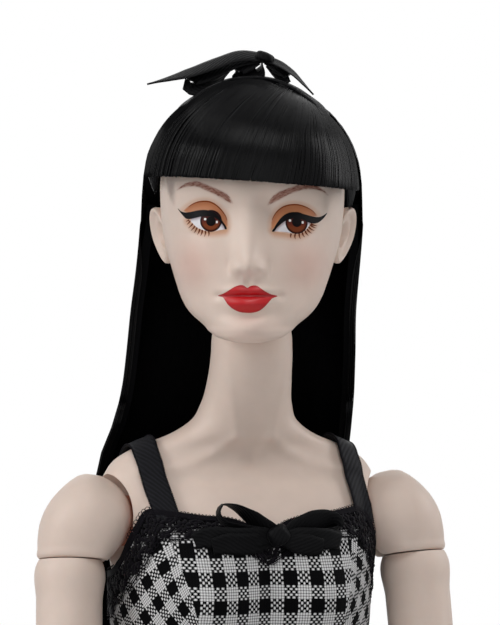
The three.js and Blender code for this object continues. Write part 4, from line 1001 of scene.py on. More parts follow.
def side_lock(x, tip_z, spread, sign, count):
    """A tapering lock before the ear."""
    x0 = x + rng.uniform(-spread, spread, count)
    z0 = fringe_edge(x0) + 4
    x1 = x + sign * 1.1 + rng.normal(0, 0.25, count)
    z1 = tip_z + 3.6 * rng.random(count) ** 1.6
    t = np.linspace(0, 1, 8)[None]
    xs = x0[:, None] + (x1 - x0)[:, None] * t
    zs = z0[:, None] + (z1 - z0)[:, None] * t
    half, depth = hair_size(zs)
    reach = (0.96 - 0.05 * t) * half
    xs = np.clip(xs, -reach, reach)
    ys = HAIR_Y - (depth - 0.4 - 2.2 * t) * (1 - (np.abs(xs) / half) ** HAIR_POWER) ** (1 / HAIR_POWER)
    return np.stack([xs, ys, zs], -1)


locks = np.concatenate([side_lock(-21.3, 27.4, 2.2, 1, 70), side_lock(22.2, 24.0, 1.7, -1, 60)])
points, faces = tubes(locks, taper(8, rng.uniform(0.1, 0.15, len(locks)), 1, 0.2), 3, 0.8, HAIR_MIDDLE)
locks_obj = toned(make("hair_side_locks", points, faces, hair_black), strand_tones(len(locks)), 24)


# The back: strands from the crown down the back and sides, on to the long curtain

def curtain(angle, z, inset=0.0):
    """World points of the curtain at an angle from +x through +y, and a height."""
    half, rear, edge, turned = hermite(CURTAIN, (z - HAIR_END) / (HAIR_TOP - HAIR_END)).T
    half, rear = half.T * HAIR_HALF - inset, rear.T * HAIR_DEPTH - inset
    edge, turned = edge.T * HAIR_DEPTH, turned.T
    x = half * np.cos(angle) - 2.2 * np.exp(-((z - 352) / 17) ** 2)
    y = edge + (rear - edge) * np.abs(np.sin(angle)) ** 0.8
    twist = np.radians(-18 * turned)
    return np.stack([x * np.cos(twist) - y * np.sin(twist),
                     x * np.sin(twist) + y * np.cos(twist) + BALANCE - LEAN * turned, z + 0 * x], -1)


def crown_line(angle):
    """World points where the combed crown meets the curtain's top, by the curtain's angle."""
    return moved(curtain(angle, np.full(angle.shape, CROWN_JOIN)), np.linalg.inv(head_place))


BACK, UP_STEPS, LOW_STEPS = 1500, 20, 14
angle = np.sort(rng.uniform(-0.06, np.pi + 0.06, BACK))
angle = np.clip(angle, 0.0, np.pi)
join = crown_line(angle)
share = 1 - angle / np.pi
start_share = np.clip(1.05 - np.abs(share - 0.05) * 1.25, 0, 1)
starts = parting(np.clip(start_share + rng.normal(0, 0.05, BACK), -0.2, 1.0))
edge = np.minimum(angle, np.pi - angle)
near = smooth(0.55, 0.0, edge)
outer = np.where(angle < np.pi / 2, 1, -1)
over_ear = np.stack([outer * 24.0, 7.0 - 15.0 * near * rng.random(BACK) ** 0.6, 37 - 2.0 * near], 1)
way = combed(starts, join, 15, over_ear, (0.75 * near)[:, None, None])
over = on_hair(way, -0.5 + 0.5 * rng.random(BACK)[:, None] + 0 * way[..., 0])
blend_in = smooth(0.72, 1.0, np.linspace(0, 1, 15))[None, :, None]
over = over * (1 - blend_in) + (join[:, None] + (over - over[:, -1:])) * blend_in
over_world = moved(over, head_place)
depth_of = rng.uniform(0, 1.5, BACK)
low_end = HAIR_END + np.abs(rng.normal(0, 0.7, BACK))
wander = rng.normal(0, 0.012, BACK)
z_up = np.linspace(CROWN_JOIN, HAIR_SPLIT, UP_STEPS)[1:]
inset = depth_of[:, None] * smooth(CROWN_JOIN, 362, z_up)[None]
upper = curtain(angle[:, None] + wander[:, None] * smooth(CROWN_JOIN, HAIR_SPLIT, z_up), z_up + 0 * angle[:, None],
                inset)
z_low = HAIR_SPLIT + (low_end[:, None] - HAIR_SPLIT) * np.linspace(0, 1, LOW_STEPS)[None]
bend = wander[:, None] * (1 + 1.5 * smooth(HAIR_SPLIT, HAIR_END, z_low))
lower = curtain(angle[:, None] + bend, z_low, depth_of[:, None] + 0 * z_low)
radius = rng.uniform(0.11, 0.19, BACK)
steps = 15 + UP_STEPS - 1
points, faces = tubes(np.concatenate([over_world, upper], 1), np.broadcast_to(radius[:, None], (BACK, steps)), 3, 0.7,
                      moved(HAIR_MIDDLE, head_place))
tones = strand_tones(BACK)
hair_upper = make("hair_upper_strands", points, faces, hair_black)
low_taper = np.minimum(1, 0.4 + (1 - np.linspace(0, 1, LOW_STEPS)) / 0.08)
points, faces = tubes(lower, radius[:, None] * low_taper, 3, 0.7, np.array([0, BALANCE, 300.0]))
hair_lower = make("hair_lower_strands", points, faces, hair_black)
for obj, per in ((hair_upper, steps * 3), (hair_lower, LOW_STEPS * 3)):
    toned(obj, tones, per)

# Forms under the strands
under_z = np.r_[np.linspace(14, 46, 44), np.linspace(46.6, CROWN_TOP - 0.2, 20)]
half, depth = hair_size(under_z)
rings = oval(under_z, half - 0.6, depth - 0.6, depth - 0.6, 0, HAIR_Y, 150, HAIR_POWER)
cap_points, cap_faces = loft(rings)
cap = make("hair_cap", cap_points, cap_faces, hair_under)
combs(cap, np.degrees(np.arctan2(cap_points[:, 0], -cap_points[:, 1])), cap_points[:, 2])
grown_z = np.linspace(0.03 * HEAD_HEIGHT - CHIN, HEAD_HEIGHT - CHIN - 0.6, 60)
half, front, rear, middle = head_row(grown_z)
a = np.arange(120) / 120 * 2 * np.pi
skull_depth = np.where(np.sin(a) < 0, (front + middle)[:, None] + 0.2, (rear - middle)[:, None])
hollow = np.stack([(half[:, None] + 0.15) * np.sign(np.cos(a)) * np.abs(np.cos(a)) ** (2 / 2.3),
                   middle[:, None] + skull_depth * np.sign(np.sin(a)) * np.abs(np.sin(a)) ** (2 / 2.2),
                   grown_z[:, None] + 0 * a], -1)


def wedge(corners, low, high):
    """A box-like body over a four-cornered outline in y and z, across x."""
    corners = np.array(corners, float)
    n = len(corners)
    points = np.vstack([np.c_[np.full(n, x), corners] for x in (low, high)])
    faces = [[j, (j + 1) % n, (j + 1) % n + n, j + n] for j in range(n)]
    return points, faces + [list(range(n))[::-1], list(range(n, 2 * n))]


def hairline(y):
    return 18.5 + 0.45 * (HAIR_DEPTH - y)


BROW = -HAIR_DEPTH / 6
rear_cut = wedge([(BROW, -60), (80, -60), (80, hairline(80) + 40), (26.5, hairline(26.5)), (BROW, hairline(BROW))],
                 -60, 60)
front_cut = wedge([(-60, -60), (BROW + 0.5, -60), (BROW + 0.5, 30.3), (-60, 30.3)], -60, 60)
combined(cap, [cutter(*loft(hollow)), cutter(*rear_cut), cutter(*front_cut, turn("Y", 4))], "DIFFERENCE")
for obj in (cap, fringe, locks_obj):
    settle(obj, head_place)
    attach(obj, "head")
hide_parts("hair_crown", "hair_fringe")


def curtain_form(name, low, high):
    """The dark form under the long strands, as a closed shell of even thickness."""
    angles = np.linspace(0.0, np.pi, 90)
    rows = 26 if high is None else 16
    t = np.linspace(0, 1, rows)
    if high is None:
        ends = 352.5 + hairline(crown_line(angles)[:, 1]) - 0.5
    else:
        ends = np.full(90, high)
    rings = []
    for inset in (0.75, 2.6):
        z = low + (ends[None] - low) * t[:, None]
        tuck = inset + 0.4 * smooth(368, 376, z)
        rings.append(curtain(np.clip(angles[None] + 0 * z, 0.01, np.pi - 0.01), z, tuck))
    outer, inner = rings
    ring = np.concatenate([outer, inner[:, ::-1]], 1)
    count = ring.shape[1]
    points = ring.reshape(-1, 3)
    faces = band_faces(rows, count)
    obj = outward(make(name, points, faces, hair_under, 40))
    lengths = np.tile(np.r_[np.degrees(angles), np.degrees(angles[::-1])], rows)
    combs(obj, lengths, points[:, 2])
    return obj


upper_form = curtain_form("hair_upper", HAIR_SPLIT, None)
lower_form = curtain_form("hair_lower", HAIR_END + 1.2, HAIR_SPLIT)
for obj in (upper_form, hair_upper):
    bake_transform(obj)
for obj in (lower_form, hair_lower):
    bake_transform(obj)
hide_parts("hair_length")


# Torso: one skin from the crotch to the top of the neck

# Height share, half width share, front share, back share, lean share
TORSO = np.array([
    (0.000, 0.40, 0.40, 0.55, 0.00), (0.020, 0.73, 0.62, 0.80, 0.00), (0.054, 1.00, 0.80, 1.00, 0.00),
    (0.100, 1.10, 0.93, 1.13, 0.00), (0.154, 1.10, 0.95, 1.10, 0.00), (0.221, 1.00, 0.93, 0.93, 0.00),
    (0.294, 0.85, 0.88, 0.73, 0.00), (0.368, 0.78, 0.85, 0.65, 0.00), (0.435, 0.81, 0.93, 0.68, 0.00),
    (0.502, 0.88, 1.03, 0.75, 0.00), (0.562, 0.93, 1.13, 0.83, 0.00), (0.622, 0.94, 1.17, 0.87, 0.00),
    (0.676, 0.98, 1.08, 0.89, 0.00), (0.722, 1.05, 0.90, 0.87, 0.00), (0.756, 1.04, 0.73, 0.80, 0.00),
    (0.783, 1.00, 0.58, 0.67, 0.00), (0.803, 0.92, 0.51, 0.54, 0.00), (0.820, 0.77, 0.49, 0.49, 0.06),
    (0.836, 0.56, 0.49, 0.48, 0.19), (0.856, 0.40, 0.47, 0.46, 0.35), (0.883, 0.33, 0.455, 0.455, 0.55),
    (0.916, 0.303, 0.445, 0.445, 0.78), (0.957, 0.290, 0.44, 0.44, 0.95), (0.980, 0.286, 0.43, 0.43, 0.975),
    (1.000, 0.272, 0.41, 0.41, 1.00)])
TORSO_SPAN, TORSO_POWER = 149.5, 2.2
COLLAR = np.array([(4.4, 327.4), (8.3, 324.6), (12.9, 322.4), (18.5, 321.3), (24, 321.0)])
NECK_CORD = np.array([(7.6, 346), (5.6, 335), (3.6, 328), (1.6, 323.6)])


def torso_size(z):
    half, front, rear, lean = hermite(TORSO, (np.asarray(z, float) - CROTCH) / TORSO_SPAN).T
    return half.T * HALF_WIDTH, front.T * HALF_DEPTH, rear.T * HALF_DEPTH, -lean.T * LEAN + BALANCE


def along(x, z, line, wide):
    return np.exp(-(distance(x, z, line) / wide) ** 2)


def chest_out(x, z):
    """Bust, collarbones, neck cords and hollows on the front of the body."""
    a = np.abs(x)
    out = 6.0 * np.exp(-((a - 13.5) / 8.5) ** 2) * np.exp(-((z - 294) / 10) ** 2)
    high = (z > 312).astype(float)
    out += high * (0.6 * along(a, z, COLLAR, 1.4) - 0.6 * bump(a, z, 12.5, 326.2, 4.8, 2.2))
    out -= high * 0.35 * bump(a, z, 14, 318.6, 6.5, 1.6)
    out += 0.30 * along(a, z, NECK_CORD, 1.1) * smooth(318, 326, z)
    out -= 0.85 * bump(x, z, 0, 322.6, 2.1, 2.0) + 0.3 * bump(x, z, 0, 330, 2.4, 5)
    out -= 0.8 * bump(a, z, 24.2, 312.5, 1.3, 5.5)
    out -= 0.9 * np.exp(-(x / 2.6) ** 2) * np.exp(-((z - 298) / 9) ** 2)
    return out


def back_out(x, z):
    """Shoulder blades and the groove between them."""
    a = np.abs(x)
    out = (0.9 * bump(a, z, 14.5, 303, 6.5, 8)
           - 0.9 * np.exp(-(x / 2.6) ** 2) * smooth(232, 262, z) * smooth(326, 306, z))
    out += 1.6 * bump(a, z, 11.5, 219, 8, 8) - 1.4 * np.exp(-(x / 1.7) ** 2) * smooth(228, 214, z)
    return out


def torso_point(z, angle):
    """Points of the skin at heights and angles; the angle runs from +x through +y."""
    half, front, rear, middle = torso_size(z)
    c, s = np.cos(angle), np.sin(angle)
    x = half * np.sign(c) * np.abs(c) ** (2 / TORSO_POWER)
    depth = np.where(s < 0, front, rear) * np.abs(s) ** (2 / TORSO_POWER)
    ahead = smooth(0.0, 0.35, -s)
    behind = smooth(0.0, 0.35, s)
    y = middle + np.where(s < 0, -depth - chest_out(x, z) * ahead, depth + back_out(x, z) * behind)
    return np.stack([x, y, z + 0 * x], -1)


def torso_skin(z, angle, lift):
    """The same points moved out along the skin's normal."""
    z, angle = np.broadcast_arrays(np.asarray(z, float), np.asarray(angle, float))
    p = torso_point(z, angle)
    du = torso_point(z, angle + 0.004) - torso_point(z, angle - 0.004)
    dv = torso_point(z + 0.1, angle) - torso_point(z - 0.1, angle)
    n = np.cross(du, dv)
    return p + n / (np.linalg.norm(n, axis=-1, keepdims=True) + 1e-12) * np.asarray(lift)[..., None]


def front_angle(x, z):
    """The angle at which the front passes a place across the body."""
    half = torso_size(z)[0]
    c = np.clip(np.abs(x) / half, 0, 1) ** (TORSO_POWER / 2)
    return -np.arccos(np.sign(x) * c)


def thigh_space(radius, sign):
    """The space that a thigh sweeps, as one convex cutter."""
    points = [ball(radius, 40)[0]]
    ring = np.arange(36) / 36 * 2 * np.pi
    disc = np.c_[np.cos(ring) * radius, np.sin(ring) * radius, np.full(36, -45.7)]
    for swing in (-15, 85):
        for spread in (0, 27):
            points.append(moved(disc, turn("X", -swing) @ turn("Y", -spread)))
    work = bmesh.new()
    for p in np.vstack(points) * [sign, 1, 1] + [sign * HIP_SPREAD, BALANCE, HIP]:
        work.verts.new(p * MM)
    bmesh.ops.convex_hull(work, input=work.verts)
    bmesh.ops.delete(work, geom=[v for v in work.verts if not v.link_faces], context="VERTS")
    mesh = bpy.data.meshes.new("cutter")
    work.to_mesh(mesh)
    work.free()
    obj = bpy.data.objects.new("cutter", mesh)
    bpy.context.scene.collection.objects.link(obj)
    return outward(obj)


levels = np.r_[np.linspace(CROTCH + 0.2, 284, 64), np.linspace(284.6, 352.3, 142)]
around = np.arange(190) / 190 * 2 * np.pi
rings = np.stack([torso_point(np.full(190, z), around) for z in levels])
torso_obj = make("torso_skin", *loft(rings))
cutters = []
pivot = shift(0, BALANCE - LEAN, NECK)
neck_ball = cutter(*ball(NECK_RADIUS, 72), pivot)
combined(torso_obj, [neck_ball], "UNION")
for _, sign in SIDES:
    centre = shift(sign * CAP_CENTRE[0], CAP_CENTRE[1] + BALANCE, SHOULDER)
    cutters.append(cutter(*ball(CAP_RADIUS + 1.3, 72), centre))
    cutters.append(cutter(*rod("x", 1.9, -18.3, 0), centre, sign))
    cutters.append(cutter(*rod("x", 3.3, -18.3, -16.3), centre, sign))
    cutters.append(thigh_space(HIP_RADIUS + 0.5, sign))
    cutters.append(cutter(*rod("x", 2.7, -HIP_SPREAD - 0.3, 0), shift(sign * HIP_SPREAD, BALANCE, HIP), sign))
cutters.append(cutter(*slot_x(3.6, 3.0, 2.7, 168, 192, 9), pivot))
cutters.append(cutter(*rod("x", 1.5, -NECK_RADIUS * 0.65, NECK_RADIUS * 0.65), pivot))
combined(torso_obj, cutters, "DIFFERENCE")
PEG_TONES = linear(206, 128, 98), linear(222, 148, 118)
socket_paint, _ = mottled("socket_plastic", linear(214, 138, 108), 0.5, *PEG_TONES, 500)
torso_obj.data.materials.append(skin)
torso_obj.data.materials.append(socket_paint)
centres = np.empty(len(torso_obj.data.polygons) * 3)
torso_obj.data.polygons.foreach_get("center", centres)
centres = centres.reshape(-1, 3) / MM
reach = np.linalg.norm(np.abs(centres) * [1, 0, 0] + centres * [0, 1, 1]
                       - [CAP_CENTRE[0], CAP_CENTRE[1] + BALANCE, SHOULDER], axis=1)
torso_obj.data.polygons.foreach_set("material_index", (reach < CAP_RADIUS + 1.28).astype(np.int32))
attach(torso_obj, "torso")
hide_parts("torso")


# Suit: gingham panels over the torso

def neckline(x):
    """The sweetheart line's height in front at a place across the body."""
    a = np.abs(x)
    t = np.where(a < 12.43, (-0.4 + np.sqrt(0.16 + 4 * 0.15 * a / 22.6)) / 0.3, 1)
    heart = 305.5 + 4.5 * (2 * t - t * t)
    rise = 310 + 1.5 * (a - 12.43) / 10.17
    s = np.clip((a - 22.6) / 6.7, 0, 1)
    arm = 311.5 - 18.6 * s ** 2.1
    return np.where(a < 12.43, heart, np.where(a < 22.6, rise, arm))


def back_edge(x):
    s = np.clip(np.abs(x) / 30, 0, 1)
    return 300 - 7 * s ** 3


def seam_x(z):
    """Half the width of the centre panel at a height."""
    return np.interp(z, [203, 215, 235, 258, 275, 291.6, 300, 310, 314],
                     [7, 14, 13.5, 11.5, 13.6, 16.8, 19.0, 21.5, 22.4])


def panel_angle(z, share):
    """Angle round the body for a panel share: 0..1 half of the front centre panel, 1..2 the side
    panel, 2..3 the back panel up to the middle of the back."""
    seam = front_angle(seam_x(z), z)
    front = -np.pi / 2 + (seam + np.pi / 2) * share
    side = seam + (0.25 - seam) * (share - 1)
    rear = 0.25 + (np.pi / 2 - 0.25) * (share - 2)
    return np.where(share < 1, front, np.where(share < 2, side, rear))


def edge_height(share):
    z = np.full(share.shape, 300.0)
    for _ in range(30):
        angle = panel_angle(z, share)
        x = torso_point(z, angle)[..., 0]
        goal = np.where(angle < 0, neckline(x), back_edge(x))
        z = z + 0.5 * (goal - z)
    return z


PANEL_SHARES = np.r_[np.linspace(0, 1, 23)[:-1], np.linspace(1, 2, 19)[:-1], np.linspace(2, 3, 25)]
SUIT_ROWS = 104


def suit_points(lift, low=203.6):
    """Rows of points from the crotch to the edge, for the +x half from the front to the back."""
    top = edge_height(PANEL_SHARES)
    t = np.linspace(0, 1, SUIT_ROWS)[:, None]
    z = low + (top - low) * t
    angle = panel_angle(z, PANEL_SHARES[None] + 0 * z)
    return torso_skin(z, angle, lift + 0 * z)


def whole_ring(half):
    """The +x half and its mirror image, as rows of closed rings."""
    return np.concatenate([half, (half * [-1, 1, 1])[:, -2:0:-1]], 1)


outer, inner = whole_ring(suit_points(0.82)), whole_ring(suit_points(0.45))
rows, count = outer.shape[:2]
stack = np.concatenate([outer, inner[::-1]], 0)
points = stack.reshape(-1, 3)
faces = grid_faces(2 * rows, count, True).tolist()
for j in range(count):
    k = (j + 1) % count
    last = (2 * rows - 1) * count
    faces.append([last + j, last + k, k, j])
suit_obj = outward(make("suit_panels", points, faces))
combined(suit_obj, [thigh_space(HIP_RADIUS + 0.9, sign) for _, sign in SIDES], "DIFFERENCE")


def cloth_places(obj):
    """Cloth coordinates in millimetres for each corner of a face, by the panel that it lies in."""
    mesh = obj.data
    p = coordinates(obj)
    size = len(mesh.polygons)
    centres = np.empty(size * 3)
    mesh.polygons.foreach_get("center", centres)
    centres = centres.reshape(-1, 3) / MM
    corners = np.empty(len(mesh.loops), np.int32)
    mesh.loops.foreach_get("vertex_index", corners)
    totals = np.empty(size, np.int32)
    mesh.polygons.foreach_get("loop_total", totals)
    owner = np.repeat(np.arange(size), totals)
    half, _, _, middle = torso_size(centres[:, 2])
    seam = seam_x(centres[:, 2])
    is_front = centres[:, 1] < middle
    panel = np.where(is_front & (np.abs(centres[:, 0]) < seam), 0, np.where(
        is_front | (np.abs(centres[:, 0]) > half * 0.985), 1, 2))[owner]
    q = p[corners]
    a = np.abs(q[:, 0])
    u0 = q[:, 0]
    v0 = 0.915 * q[:, 2]
    away = np.hypot(q[:, 0], q[:, 1] - BALANCE) * np.arctan2(q[:, 1] - BALANCE, a)
    turned = math.radians(38)
    u1 = away * math.cos(turned) - q[:, 2] * math.sin(turned)
    v1 = away * math.sin(turned) + q[:, 2] * math.cos(turned)
    u = np.where(panel == 0, u0, np.where(panel == 1, u1, q[:, 0] * 1.04))
    v = np.where(panel == 1, v1, np.where(panel == 0, v0, q[:, 2]))
    attribute = mesh.attributes.new("cloth", "FLOAT_VECTOR", "CORNER")
    attribute.data.foreach_set("vector", np.c_[u, v, panel].astype(np.float32).ravel())


cloth_places(suit_obj)


def gingham():
    """Plain weave of black and white threads, five of each to a square."""
    made = material("gingham", (0.5, 0.5, 0.5), 0.85, Specular_IOR_Level=0.05)
    n = Nodes(made)
    m = n.math
    split = n.add("ShaderNodeSeparateXYZ", {"Vector": n.attribute("cloth").outputs["Vector"]})
    uneven = m("MULTIPLY", m("SUBTRACT", n.noise(600, 2), 0.5), 0.16)
    thread = 0.54
    u = m("DIVIDE", m("ADD", m("ADD", split.outputs[0], 540 + CLOTH_SHIFT[0]), uneven), thread)
    v = m("DIVIDE", m("ADD", m("ADD", split.outputs[1], 540 + CLOTH_SHIFT[1]), uneven), thread)
    column, row = m("FLOOR", u), m("FLOOR", v)
    over = m("FLOORED_MODULO", m("ADD", column, row), 2.0)
    under = m("SUBTRACT", 1.0, over)
    light_u = m("GREATER_THAN", m("FLOORED_MODULO", column, 10.0), 4.5)
    light_v = m("GREATER_THAN", m("FLOORED_MODULO", row, 10.0), 4.5)
    fu = m("ABSOLUTE", m("SUBTRACT", m("FRACT", u), 0.5))
    fv = m("ABSOLUTE", m("SUBTRACT", m("FRACT", v), 0.5))
    in_u, in_v = m("LESS_THAN", fu, 0.36), m("LESS_THAN", fv, 0.36)
    off_u, off_v = m("SUBTRACT", 1.0, in_u), m("SUBTRACT", 1.0, in_v)
    crossing = m("MULTIPLY", m("MULTIPLY", in_u, in_v),
                 m("ADD", m("MULTIPLY", over, light_u), m("MULTIPLY", under, light_v)))
    beside = m("ADD", m("MULTIPLY", m("MULTIPLY", in_u, off_v), light_u),
               m("MULTIPLY", m("MULTIPLY", off_u, in_v), light_v))
    # Painted shade: a thread seen between the crossings is painted at half brightness, and the holes between the
    # threads nearly black.
    light = m("ADD", crossing, m("MULTIPLY", beside, 0.5))
    round_u = m("SUBTRACT", 1.0, m("MULTIPLY", m("MULTIPLY", fu, fu), 4.0))
    round_v = m("SUBTRACT", 1.0, m("MULTIPLY", m("MULTIPLY", fv, fv), 4.0))
    height = m("ADD", m("MULTIPLY", over, m("ADD", round_u, m("MULTIPLY", round_v, 0.5))),
               m("MULTIPLY", under, m("ADD", round_v, m("MULTIPLY", round_u, 0.5))))
    fibre = n.noise(4200, 3)
    # Painted shading of the threads' roundness: their crowns lighter and their sides darker.
    tone = m("MULTIPLY", m("ADD", 0.62, m("MULTIPLY", height, 0.22)), m("ADD", 0.82, m("MULTIPLY", fibre, 0.36)))
    white = n.add("ShaderNodeCombineColor", {"Red": m("MULTIPLY", tone, 0.80), "Green": m("MULTIPLY", tone, 0.795),
                                             "Blue": m("MULTIPLY", tone, 0.80)})
    n.to("Base Color", n.mix(light, linear(4, 4, 5), white.outputs[0]))
    n.bump(m("ADD", height, m("MULTIPLY", fibre, 0.3)), 0.6, 0.00012)
    return made


CLOTH_SHIFT = (2.53, 3.75)
suit_obj.data.materials.append(gingham())
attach(suit_obj, "torso")
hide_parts("suit")


# Trim: lace along the suit's edge, straps and bows

from mathutils.bvhtree import BVHTree


def surface(points, rows, count):
    return BVHTree.FromPolygons([tuple(p) for p in points], grid_faces(rows, count, True).tolist())


levels = np.linspace(206, 338, 130)
body_grid = np.stack([torso_skin(np.full(200, z), np.arange(200) / 200 * 2 * np.pi, 0.9) for z in levels])
body_form = surface(body_grid.reshape(-1, 3), 130, 200)


def draped(points, lift):
    """Points set on the body's form, lifted along its normal."""
    flat = np.asarray(points, float).reshape(-1, 3)
    lift = np.broadcast_to(np.asarray(lift, float), np.shape(points)[:-1]).ravel()
    out = np.empty_like(flat)
    for i, p in enumerate(flat):
        spot, normal, _, _ = body_form.find_nearest(tuple(p))
        normal = np.array(normal)
        if normal @ (np.array(spot) - (0, BALANCE, spot[2])) < 0:
            normal = -normal
        out[i] = np.array(spot) + normal * lift[i]
    return out.reshape(np.shape(points))


def ribbon(path, wide, width, thick=0.3, across=7, crown=0.0):
    """A closed band along a path. wide is the direction of its width at each step."""
    path, wide = np.asarray(path, float), np.asarray(wide, float)
    tangent = np.gradient(path, axis=0)
    tangent /= np.linalg.norm(tangent, axis=1, keepdims=True)
    wide = wide - (wide * tangent).sum(1, keepdims=True) * tangent
    wide /= np.linalg.norm(wide, axis=1, keepdims=True)
    normal = np.cross(tangent, wide)
    width = np.broadcast_to(np.asarray(width, float), (len(path),))[:, None, None]
    w = np.linspace(-0.5, 0.5, across)[None, :, None]
    centre = path[:, None] + wide[:, None] * w * width + normal[:, None] * crown * (1 - 4 * w * w)
    rim = np.minimum(1, (0.5 - np.abs(w)) / 0.06 + 0.45)
    top = centre + normal[:, None] * thick / 2 * rim
    low = centre - normal[:, None] * thick / 2 * rim
    ring = np.concatenate([top, low[:, ::-1]], 1)
    rows, count = ring.shape[:2]
    faces = band_faces(rows, count)
    length = np.r_[0, np.cumsum(np.linalg.norm(np.diff(path, axis=0), axis=1))]
    v = np.repeat(length, count)
    u = (np.r_[w[0, :, 0], w[0, ::-1, 0]][None] * width[:, 0]).ravel()
    return ring.reshape(-1, 3), faces, np.c_[u, v]


def weave_places(obj, places):
    attribute = obj.data.attributes.new("cloth", "FLOAT_VECTOR", "POINT")
    attribute.data.foreach_set("vector", np.c_[places, 0 * places[:, 0]].astype(np.float32).ravel())
    return obj


def ribbon_material(name, light):
    """Twill ribbon: fine diagonal ribs and a little sheen, with the ribs' crests painted lighter and their hollows
    darker as painted shade.
    """
    made = material(name, linear(6, 6, 8), 0.5, Specular_IOR_Level=0.07, Sheen_Weight=0.03, Sheen_Roughness=0.4)
    n = Nodes(made)
    split = n.add("ShaderNodeSeparateXYZ", {"Vector": n.attribute("cloth").outputs["Vector"]})
    m = n.math
    u, v = split.outputs[:2]
    rib = m("SINE", m("MULTIPLY", m("SUBTRACT", m("MULTIPLY", u, 0.87), m("MULTIPLY", v, 0.5)), 8.4))
    pick = m("SINE", m("MULTIPLY", m("SUBTRACT", u, m("MULTIPLY", v, 0.8)), 30.0))
    height = n.math("ADD", rib, n.math("MULTIPLY", pick, 0.3))
    # Painted shading: lighter on the ribs' crests, darker in the hollows between them.
    shade = n.math("ADD", 0.5, n.math("MULTIPLY", height, 0.35))
    n.to("Base Color", n.mix(shade, linear(1, 1, 2), light))
    n.bump(height, 0.5, 0.00006)
    return made


ribbon_black = ribbon_material("ribbon", linear(28, 28, 33))
# The bows and the headband wear the same ribbon painted darker, as painted shade.
shaded_ribbon = ribbon_material("bow_ribbon", linear(8, 8, 10))
lace_black = material("lace_thread", linear(8, 7, 10), 0.6, Specular_IOR_Level=0.05, Sheen_Weight=0.03)
lace_nodes = Nodes(lace_black)
lace_nodes.to("Base Color", lace_nodes.mix(lace_nodes.noise(1500, 3), linear(3, 2, 4), linear(17, 14, 21)))
lace_nodes.bump(lace_nodes.noise(6000, 3), 0.5, 0.00005)


# The lace lies in a plane of length s and width w before it is wrapped round the edge

edge_half = torso_skin(edge_height(PANEL_SHARES), panel_angle(edge_height(PANEL_SHARES), PANEL_SHARES), 0.9)
edge_loop = np.concatenate([edge_half, (edge_half * [-1, 1, 1])[-2:0:-1]])
EDGE = curve(edge_loop, 480, True)
for _ in range(3):
    EDGE = (np.roll(EDGE, 1, 0) + 2 * EDGE + np.roll(EDGE, -1, 0)) / 4
EDGE = draped(EDGE, 0.0)
ahead = np.roll(EDGE, -1, 0) - np.roll(EDGE, 1, 0)
ahead /= np.linalg.norm(ahead, axis=1, keepdims=True)
EDGE_LENGTH = float(np.linalg.norm(np.roll(EDGE, -1, 0) - EDGE, axis=1).sum())
out = EDGE - np.array([0, BALANCE, 0])
out[:, 2] = 0
DOWN_WAY = np.cross(ahead, out)
DOWN_WAY /= np.linalg.norm(DOWN_WAY, axis=1, keepdims=True)
DOWN_WAY *= np.sign(-DOWN_WAY[:, 2:] + 1e-9)
for _ in range(30):
    DOWN_WAY = (np.roll(DOWN_WAY, 1, 0) + 2 * DOWN_WAY + np.roll(DOWN_WAY, -1, 0)) / 4
DOWN_WAY /= np.linalg.norm(DOWN_WAY, axis=1, keepdims=True)
REPEATS = int(round(EDGE_LENGTH / 5.4))
REPEAT = EDGE_LENGTH / REPEATS


def wrapped(s, w, lift):
    """Lace places on the body: s along the edge and w downwards from it."""
    at = (np.asarray(s, float) / EDGE_LENGTH * len(EDGE)) % len(EDGE)
    k = np.floor(at).astype(int)
    f = (at - k)[..., None]
    base = EDGE[k % len(EDGE)] * (1 - f) + EDGE[(k + 1) % len(EDGE)] * f
    way = DOWN_WAY[k % len(EDGE)] * (1 - f) + DOWN_WAY[(k + 1) % len(EDGE)] * f
    ruffle = 0.16 * np.sin(np.asarray(s) * 2.1) * smooth(1.5, 6, w)
    return draped(base + way * np.asarray(w)[..., None], np.asarray(lift) + ruffle)


def leaf(s, w, long, wide, lean, lift, height=0.12):
    """A filled stitched shape: a lens over a pointed oval."""
    t = np.arange(10) / 10 * 2 * np.pi
    x, y = long / 2 * np.cos(t), wide / 2 * np.sin(t) * (1 - 0.3 * np.cos(t))
    c, q = math.cos(lean), math.sin(lean)
    ring = np.c_[s + x * c - y * q, w + x * q + y * c]
    flat = np.vstack([ring, [[s, w]], [[s, w]]])
    lifts = np.r_[np.full(10, lift), lift + height, lift - 0.05]
    faces = [[j, (j + 1) % 10, 10] for j in range(10)] + [[(j + 1) % 10, j, 11] for j in range(10)]
    return flat, lifts, faces


def scallop(s):
    return 5.2 + 0.75 * np.abs(np.sin(np.pi * s / REPEAT)) ** 0.8


lace_parts, threads, petals = [], [], []
# Net
pitch = REPEAT / 8
for row in range(10):
    for col in range(REPEATS * 8):
        s0 = (col + 0.5 * (row % 2)) * pitch
        w0 = -0.3 + row * pitch * 0.82
        side = pitch * 0.5
        for ds, dw in ((side, pitch * 0.41 * 0.62), (-side, pitch * 0.41 * 0.62), (0, -pitch * 0.41 * 0.85)):
            threads.append([[s0, w0], [s0 + ds, w0 + dw]])
threads = np.array(threads)
keep = threads[:, :, 1].max(1) < scallop(threads[:, 0, 0]) - 0.05
threads = threads[keep]
middle = threads.mean(1, keepdims=True)
line = np.concatenate([threads[:, :1], middle, threads[:, 1:]], 1)
net = wrapped(line[..., 0], line[..., 1], 0.12)
points, faces = tubes(net, 0.1, 3, 1, None, False)
lace_parts.append((points, faces))
